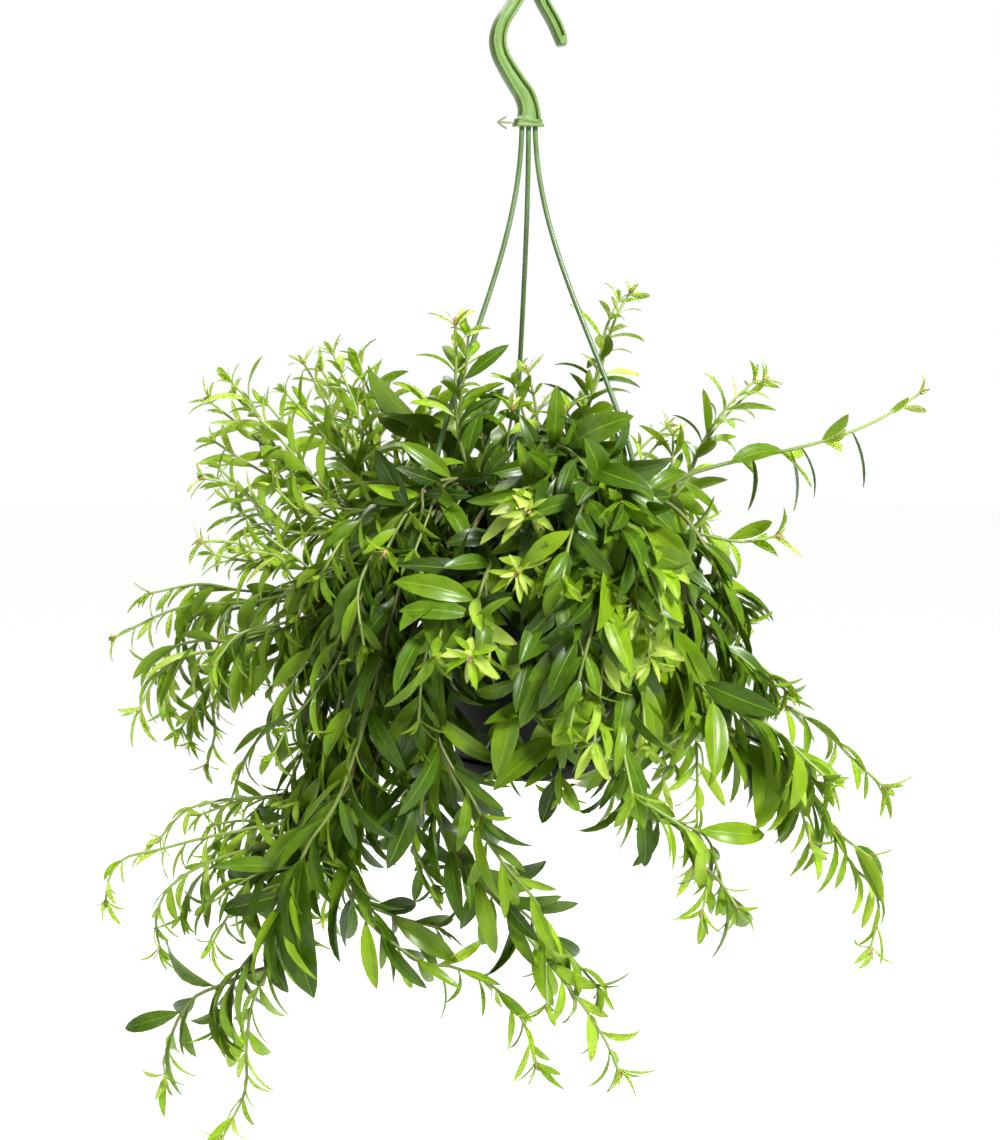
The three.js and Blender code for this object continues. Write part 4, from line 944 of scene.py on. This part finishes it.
def chance(stem, draw):
    """A number between 0 and 1 that two given numbers settle, or an array of such: what a large multiple
    of a sine leaves behind its point."""
    wave = np.sin(stem * 12.9898 + draw * 78.233) * 43758.5453
    return wave - np.floor(wave)


def carried(side, way):
    """A vector made square to a way."""
    return unit(side - way * np.sum(side * way, axis=-1, keepdims=True))


def rolled(top, out, angle):
    """Vectors square to a way out, turned about it by an angle."""
    angle = angle[:, None]
    return top * np.cos(angle) + np.cross(out, top) * np.sin(angle)


def leaf_rule(line, stem, leaf_length, droop, bare, pale, keep, broad):
    """The leaves of a line. They stand in opposite pairs, each pair turned a quarter from the last, and
    each leans out from the way of the stem, more at the root than at the tip, and sags a little. A blade
    faces the stem's tip, the sky and away from the pot. It gives feet, ways out, faces, lengths, bends,
    shares and breadths as arrays, for the share of the leaves that a stem has kept."""
    pairs = max(2, math.floor((line.length - bare) / LEAF_PITCH + 0.5))
    pair = np.arange(pairs)
    share = np.minimum((bare + (line.length - bare) * (pair + 0.9) / pairs) / line.length, 0.995)
    ways = line.way(share)
    first = line.held[2] - line.held[1]
    side = unit(np.array((-first[1], first[0], 0)))
    sides = []
    for way in ways:
        side = carried(side, way)
        sides.append(side)
    number = np.arange(2 * pairs)
    draws = [chance(stem, 10 * number + kind) for kind in range(6)]
    half = number % 2
    way, side, share = (np.repeat(rows, 2, axis=0) for rows in (ways, np.array(sides), share))
    across = np.cross(way, side)
    turn = (math.pi * (number // 2 / 2 + half) + LEAF_TURN_PLAY * (draws[0] - 0.5))[:, None]
    lean = LEAF_LEAN - LEAF_LEAN_LOST * share + LEAF_LEAN_PLAY * (draws[1] - 0.5)
    lean = (lean * (1 - 0.7 * pale))[:, None]
    sag = (droop * (0.4 + 1.2 * draws[2]))[:, None]
    radial = side * np.cos(turn) + across * np.sin(turn)
    out = unit(way * np.cos(lean) + radial * np.sin(lean) - UP * sag)
    foot = line.at(share)
    outward = unit(foot * (1, 1, 0) + (0.01, 0, 0))
    face = (way * np.sin(lean) - radial * np.cos(lean)) * 0.5 + UP * 0.7 + outward * 0.7
    top = rolled(carried(face, out), out, LEAF_ROLL_PLAY * (draws[3] - 0.5))
    grown = np.minimum(1, 0.75 + 0.8 * share) * (1 - 0.45 * eased((share - 0.6) / 0.4))
    size = leaf_length * grown * (0.8 + 0.4 * draws[4])
    leaves = {
        "foot": foot, "out": out, "top": top, "size": size, "share": share,
        "bend": LEAF_BEND[0] + LEAF_BEND[1] * draws[5], "broad": broad * (0.85 + 0.3 * draws[4])
    }
    kept = chance(stem + 0.83, number) < keep
    return {name: values[kept] for name, values in leaves.items()}


def placed_leaves(lines, rows):
    """Leaves that the rule doesn't give. A row has the number of the line, the share along it, the place of
    the leaf's tip, its youth and its breadth. The blade starts above the way to its tip by half its bend."""
    number, share, x, y, z, young, broad = np.array(rows, dtype=float).T
    foot = np.array([lines[int(line)].at(np.array([at]))[0] for line, at in zip(number, share)])
    reach = np.stack((x, y, z), axis=1) - foot
    way = unit(reach)
    top = carried(UP * 0.6 + unit(foot * (1, 1, 0)), way)
    bend = 0.5 + 0.3 * chance(0.4, np.arange(len(rows)))
    half = bend[:, None] / 2
    return {
        "foot": foot, "out": way * np.cos(half) + top * np.sin(half),
        "top": top * np.cos(half) - way * np.sin(half), "size": np.linalg.norm(reach, axis=1) * 1.03,
        "bend": bend, "share": share, "broad": broad, "young": young
    }


def blades(leaves, stem):
    """The vertices of leaves, as an array of leaf, station, place across and x, y, z, and their marks. A
    leaf lies on an arc that bends back. Across it, two plump halves rise from the midrib to thin edges,
    with a keel below, thinner in a young leaf. Its half width follows a sine of the share of its length,
    and it twists, sways and ripples by its own chances."""
    number = np.arange(len(leaves["size"]))
    size, bend, broad, young = (leaves[name][:, None, None] for name in ("size", "bend", "broad", "young"))
    play = [chance(stem + 0.37, 10 * number + kind)[:, None, None] for kind in range(5)]
    station = LEAF_STATIONS[None, :, None]
    place = np.clip((station - 0.07) / 0.93, 0, 1)
    width = np.sin(math.pi * place ** 0.9) ** 0.7
    broad = broad * (1 - YOUNG_NARROWER * young)
    stalk = STALK_HALF * np.where(station > 0.5, 0.25, 1) * np.minimum(1, size / 25)
    half = np.maximum(size * LEAF_WIDTH * broad / 2 * width * (0.88 + 0.24 * play[0]), stalk)
    across = LEAF_ACROSS[None, None, :]
    from_rib = abs(across)
    fold = LEAF_FOLD[0] + LEAF_FOLD[1] * play[1]
    thin = 1 - YOUNG_THINNER * young
    rise = half * (fold * from_rib + LEAF_PLUMP * thin * from_rib * (1 - from_rib))
    rise = rise + LEAF_RIPPLE * half * np.sin(9 * station + 6 * play[2] + 2 * across) * from_rib
    keel = LEAF_KEEL * thin * np.minimum(1, size / 30) * (1 - 0.75 * station)
    rise = np.where(LEAF_UNDER == 1, -keel - 0.12, rise)
    twist = (play[3] - 0.5) * LEAF_TWIST * station
    aside = half * across * np.cos(twist) - rise * np.sin(twist)
    above = half * across * np.sin(twist) + rise * np.cos(twist)
    aside = aside + (play[4] - 0.5) * LEAF_SWAY * size * station ** 2
    out, top = leaves["out"][:, None, None], leaves["top"][:, None, None]
    arc = size / bend
    places = (
        leaves["foot"][:, None, None]
        + out * ((arc + above) * np.sin(bend * station))[..., None]
        + top * ((arc + above) * np.cos(bend * station) - arc)[..., None]
        + np.cross(top, out) * aside[..., None]
    )
    tone = chance(stem + 0.61, 10 * number)[:, None, None]
    marks = {"across": across, "under": LEAF_UNDER, "along": station, "tone": tone, "young": young}
    return places, {name: np.broadcast_to(values, places.shape[:3]) for name, values in marks.items()}


def blade_faces(count):
    """The corner numbers of the faces of a count of leaves, as blades() lays out their vertices."""
    spots, faces = skin(np.zeros((len(LEAF_STATIONS), len(LEAF_ACROSS), 3)))
    return [[corner + leaf * len(spots) for corner in face] for leaf in range(count) for face in faces]


def crown(line, stem, leaf_length):
    """The tuft at a stem's tip: six small young leaves in a spiral, the smaller and the closer to the way
    on the nearer they are to the middle."""
    tip = line.at(np.array([0.997]))[0]
    way = line.way(np.array([0.997]))[0]
    side = carried(np.array((0.3, 0.7, 0.2)), way)
    number = np.arange(6)
    turn = (number * 2.1 + 6 * chance(stem, 901))[:, None]
    lean = (TUFT_LEAN + 0.25 * (chance(stem, 910 + number) - 0.5))[:, None]
    radial = side * np.cos(turn) + np.cross(way, side) * np.sin(turn)
    out = unit(way * np.cos(lean) + radial * np.sin(lean) + UP * 0.05)
    face = way * np.sin(lean) - radial * np.cos(lean) + UP * 0.2
    return {
        "foot": np.repeat(tip[None], 6, axis=0), "out": out, "top": carried(face, out),
        "size": leaf_length * TUFT_SIZE * (0.85 + 0.3 * chance(stem, 930 + number)),
        "bend": 0.35 + 0.5 * chance(stem, 950 + number), "share": np.ones(6), "broad": np.ones(6)
    }


def pot_radius(z):
    """The pot's outer radius at a height, nought under its tray."""
    return np.interp(z, *np.array(POT_KEEP_OUT).T)


def kept_clear(spots):
    """Places moved off the pot and into the object's box. Over the rim they are raised above it, and
    beside the wall they are moved out from the axis."""
    spots = np.clip(spots, BOX_LOW + BOX_MARGIN, BOX_HIGH - BOX_MARGIN)
    radius = np.linalg.norm(spots[:, :2], axis=1)
    need = pot_radius(spots[:, 2]) + POT_CLEAR
    low = (radius < need) & (spots[:, 2] < RIM_TOP + RIM_OVER)
    over = low & (spots[:, 2] > RIM_TOP - RIM_BAND)
    spots[:, 2] = np.where(over, RIM_TOP + RIM_OVER, spots[:, 2])
    push = np.where(low & ~over, need / np.maximum(radius, 1), 1)
    spots[:, :2] *= push[:, None]
    return spots


def side_twigs(line, number, count, spread):
    """Thin side shoots of a stem. Each leaves it at a chance share of its length, goes the same way for a
    while and swings aside by up to the spread, most at its tip."""
    shoots = []
    for twig in range(count):
        draw = [chance(number + 0.5, 20 * twig + kind) for kind in range(6)]
        start = (twig + 0.2 + 0.6 * draw[0]) / count * 0.65 + 0.04
        length = (TWIG_LENGTH[0] + TWIG_LENGTH[1] * draw[1]) / line.length
        share = np.linspace(start, min(start + length, 0.96), TWIG_POINTS)
        swing = eased((share - start) / (share[-1] - start + 1e-6))[:, None] * spread * (0.5 + 0.8 * draw[2])
        way = line.way(share)
        aside = unit(np.array((draw[3] - 0.5, draw[4] - 0.5, 0.7 * (draw[5] - 0.35))))
        spots = line.at(share) + carried(aside, way) * swing
        spots[1:] = kept_clear(spots[1:])
        shoots.append(Line(spots))
    return shoots


def fits(places):
    """Which leaves stay inside the object's box, clear of the pot and clear of the rods."""
    spots = places.reshape(len(places), -1, 3)
    inside = np.all((spots > BOX_LOW - BOX_PLAY) & (spots < BOX_HIGH + BOX_PLAY), axis=(1, 2))
    radius = np.linalg.norm(spots[..., :2], axis=2)
    in_pot = (radius < pot_radius(spots[..., 2]) + POT_TOUCH) & (spots[..., 2] < RIM_TOP + POT_TOUCH)
    in_pot &= ~((radius < POT_MOUTH) & (spots[..., 2] > SOIL_TOP + 1))
    off_rods = np.ones(len(places), dtype=bool)
    for line in rod_lines:
        x, y, z = line[::-1].T
        aside = spots[..., 0] - np.interp(spots[..., 2], z, x)
        behind = spots[..., 1] - np.interp(spots[..., 2], z, y)
        off_rods &= np.hypot(aside, behind).min(axis=1) > ROD_WIDTH / 2 + ROD_CLEAR
    return inside & ~in_pot.any(axis=1) & off_rods


def joined(groups):
    """Groups of leaves as one."""
    return {name: np.concatenate([group[name] for group in groups]) for name in groups[0]}


def nearest_on(line, place):
    """The place on a line that is nearest to a given one, among 401 along it."""
    spots = line.at(np.linspace(0, 1, 401))
    return spots[np.argmin(np.linalg.norm(spots - place, axis=1))]


def leaf_finish(name, lets_through, reach):
    """Waxy leaf. The colour goes from deep green through bright green to pale yellow-green with youth and
    from leaf to leaf, lighter along the midrib and below. The youth mark also carries the stem's paleness,
    part of which is painted backlight glow that makes the outer sprays paler and yellower. Some light
    spreads through it over a reach in millimetres, and the veins are low relief."""
    leaf = Finish(name)
    cloud = leaf.noise(9, 3)
    age = leaf.mark("young") * 0.72 + leaf.mark("tone") * 0.3 + (cloud - 0.5) * 0.25
    body = leaf.node("ShaderNodeValToRGB", {"stops": LEAF_AGES}, {"Fac": age})
    from_rib = abs(leaf.mark("across"))
    rib = 1 - leaf.ramp(from_rib, 0.02, 0.1)
    body = leaf.mix(rib * 0.35, body, LEAF_RIB)
    wave = leaf.mark("along") * 38 - from_rib * 9
    vein = wave.maths("SINE", wave) * 0.5 + 0.5
    body = leaf.mix(vein * 0.03, body, LEAF_RIB)
    below = leaf.ramp(leaf.mark("under"), 0.5, 0.56)
    body = leaf.mix(below * 0.55, body, LEAF_BELOW)
    fine = leaf.noise(2.5, 2)
    height = vein * 0.06 + fine * 0.2 + (1 - rib) * 0.6
    return leaf.done(leaf.surface(
        Base_Color=body,
        Roughness=0.3 + cloud * 0.16 + below * 0.15,
        Specular_IOR_Level=0.2, Coat_Weight=0.09, Coat_Roughness=0.15,
        Subsurface_Weight=lets_through, Subsurface_Radius=(0.8, 1, 0.25), Subsurface_Scale=reach * MM,
        Normal=leaf.relief(height, 0.12)
    ))


def stem_finish():
    """Stem skin: brown towards the root, then olive green, pale near a young tip and rosy at its bud, with
    a fine grain."""
    stem = Finish("stem_skin")
    cloud = stem.noise(6, 4)
    age = stem.mark("young")
    colour = stem.mix(stem.ramp(age + cloud * 0.4, 0.2, 1.1), STEM_BROWN, STEM_GREEN)
    colour = stem.mix(stem.ramp(age, 0.8, 1.3), colour, STEM_PALE)
    colour = stem.mix(stem.ramp(age, 1.5, 1.9), colour, BUD_PINK)
    return stem.done(stem.surface(
        Base_Color=colour, Roughness=cloud * 0.2 + 0.4, Normal=stem.relief(stem.noise(0.8), 0.15)
    ))


plant_finishes = [leaf_finish("grown_leaf", 0.28, 1.1), leaf_finish("young_leaf", 0.8, 3), stem_finish()]


def stem_tube(line, radius, rooted):
    """The stem of a line, with the youth of its vertices: a round taper that ends in a small pointed bud.
    A rooted one goes on down into the soil."""
    steps = max(8, round(line.length / STEM_RING_STEP))
    share = np.linspace(0, 1, steps + 1)
    places = line.at(share)
    radii = radius + (STEM_TIP_RADIUS - radius) * share
    bud = np.array(BUD) * radius / STEM_ROOT_RADIUS
    places = np.concatenate((places, places[-1] + line.way(np.array([0.99])) * bud[:, :1]))
    radii = np.concatenate((radii, bud[:, 1]))
    share = np.concatenate((share, np.full(len(bud), 2)))
    if rooted:
        sunk = places[0] - UP * np.array([[STEM_ROOT_DEPTH], [STEM_ROOT_DEPTH / 2]])
        places = np.concatenate((sunk, places))
        radii = np.concatenate(([radius, radius], radii))
        share = np.concatenate(([0, 0], share))
    return skin(tube(places, radii, STEM_SIDES)), np.repeat(share, STEM_SIDES)


def plant(name, number, root, leaf, droop, twigs, spread, pale, fresh, through, branches=(), more=(),
          keep=1, broad=1):
    """One stem with its branches, side twigs, leaves and tufts, as one piece in the place of its solid. A
    leaf that doesn't fit is shrunk, and left out if it still doesn't."""
    main = Line([around(*root, SOIL_TOP), *through])
    lines = [(main, BARE_FOOT, STEM_ROOT_RADIUS)]
    for branch in branches:
        start = nearest_on(main, branch[0])
        lines.append((Line([start, *branch[1:]]), BARE_BRANCH, BRANCH_RADIUS))
    lines += [(twig, BARE_TWIG, TWIG_RADIUS) for twig in side_twigs(main, number, twigs, spread)]
    skins, ages, groups = [], [], []
    for line_number, (line, bare, radius) in enumerate(lines):
        seed = number + LINE_SEEDS * line_number
        gain = fresh * (1 if line_number <= len(branches) else TWIG_YOUTH)
        tube_skin, age = stem_tube(line, radius, line_number == 0)
        skins.append(tube_skin)
        # The stem's paleness raises the youth mark of its skin and its leaves: partly young growth, partly
        # painted backlight glow that makes the outer sprays paler and yellower.
        ages.append(age + pale)
        leaves = leaf_rule(line, seed, leaf, droop, bare, pale, keep, broad)
        leaves["young"] = np.clip(pale + gain * eased((leaves["share"] - 0.3) / 0.7), 0, 1)
        tuft = crown(line, seed, leaf)
        tuft["young"] = np.clip(pale + gain * TUFT_YOUTH, 0, 1)
        groups += [leaves, tuft]
    if more:
        groups.append(placed_leaves([line for line, _, _ in lines], more))
    leaves = joined(groups)
    places, marks = blades(leaves, number)
    feet = leaves["foot"][:, None, None]
    places = np.where(fits(places)[:, None, None, None], places, feet + (places - feet) * SHRUNK)
    young = leaves["young"] > YOUNG_FROM
    order = np.argsort(young, kind="stable")
    order = order[fits(places)[order]]
    grown = np.count_nonzero(~young[order])
    places = places[order]
    skins += [(group.reshape(-1, 3), blade_faces(len(group))) for group in (places[:grown], places[grown:])]
    stem_marks = {mark: np.zeros(sum(map(len, ages))) for mark in marks}
    stem_marks["young"] = np.concatenate(ages)
    marks = {mark: np.concatenate((stem_marks[mark], marks[mark][order].ravel())) for mark in marks}
    wears = [2] * len(lines) + [0, 1]
    spray = name.replace("stem", "spray")
    piece(spray, skins, plant_finishes, [name], sharp=75, wears=wears, marks=marks)


stem_number = 0
for stem_side, stem_rows in STEMS.items():
    for place_in_side, (*columns, extras) in enumerate(stem_rows, 1):
        plant(f"stem_{stem_side}_{place_in_side:02d}", stem_number, *columns, **extras)
        stem_number += 1
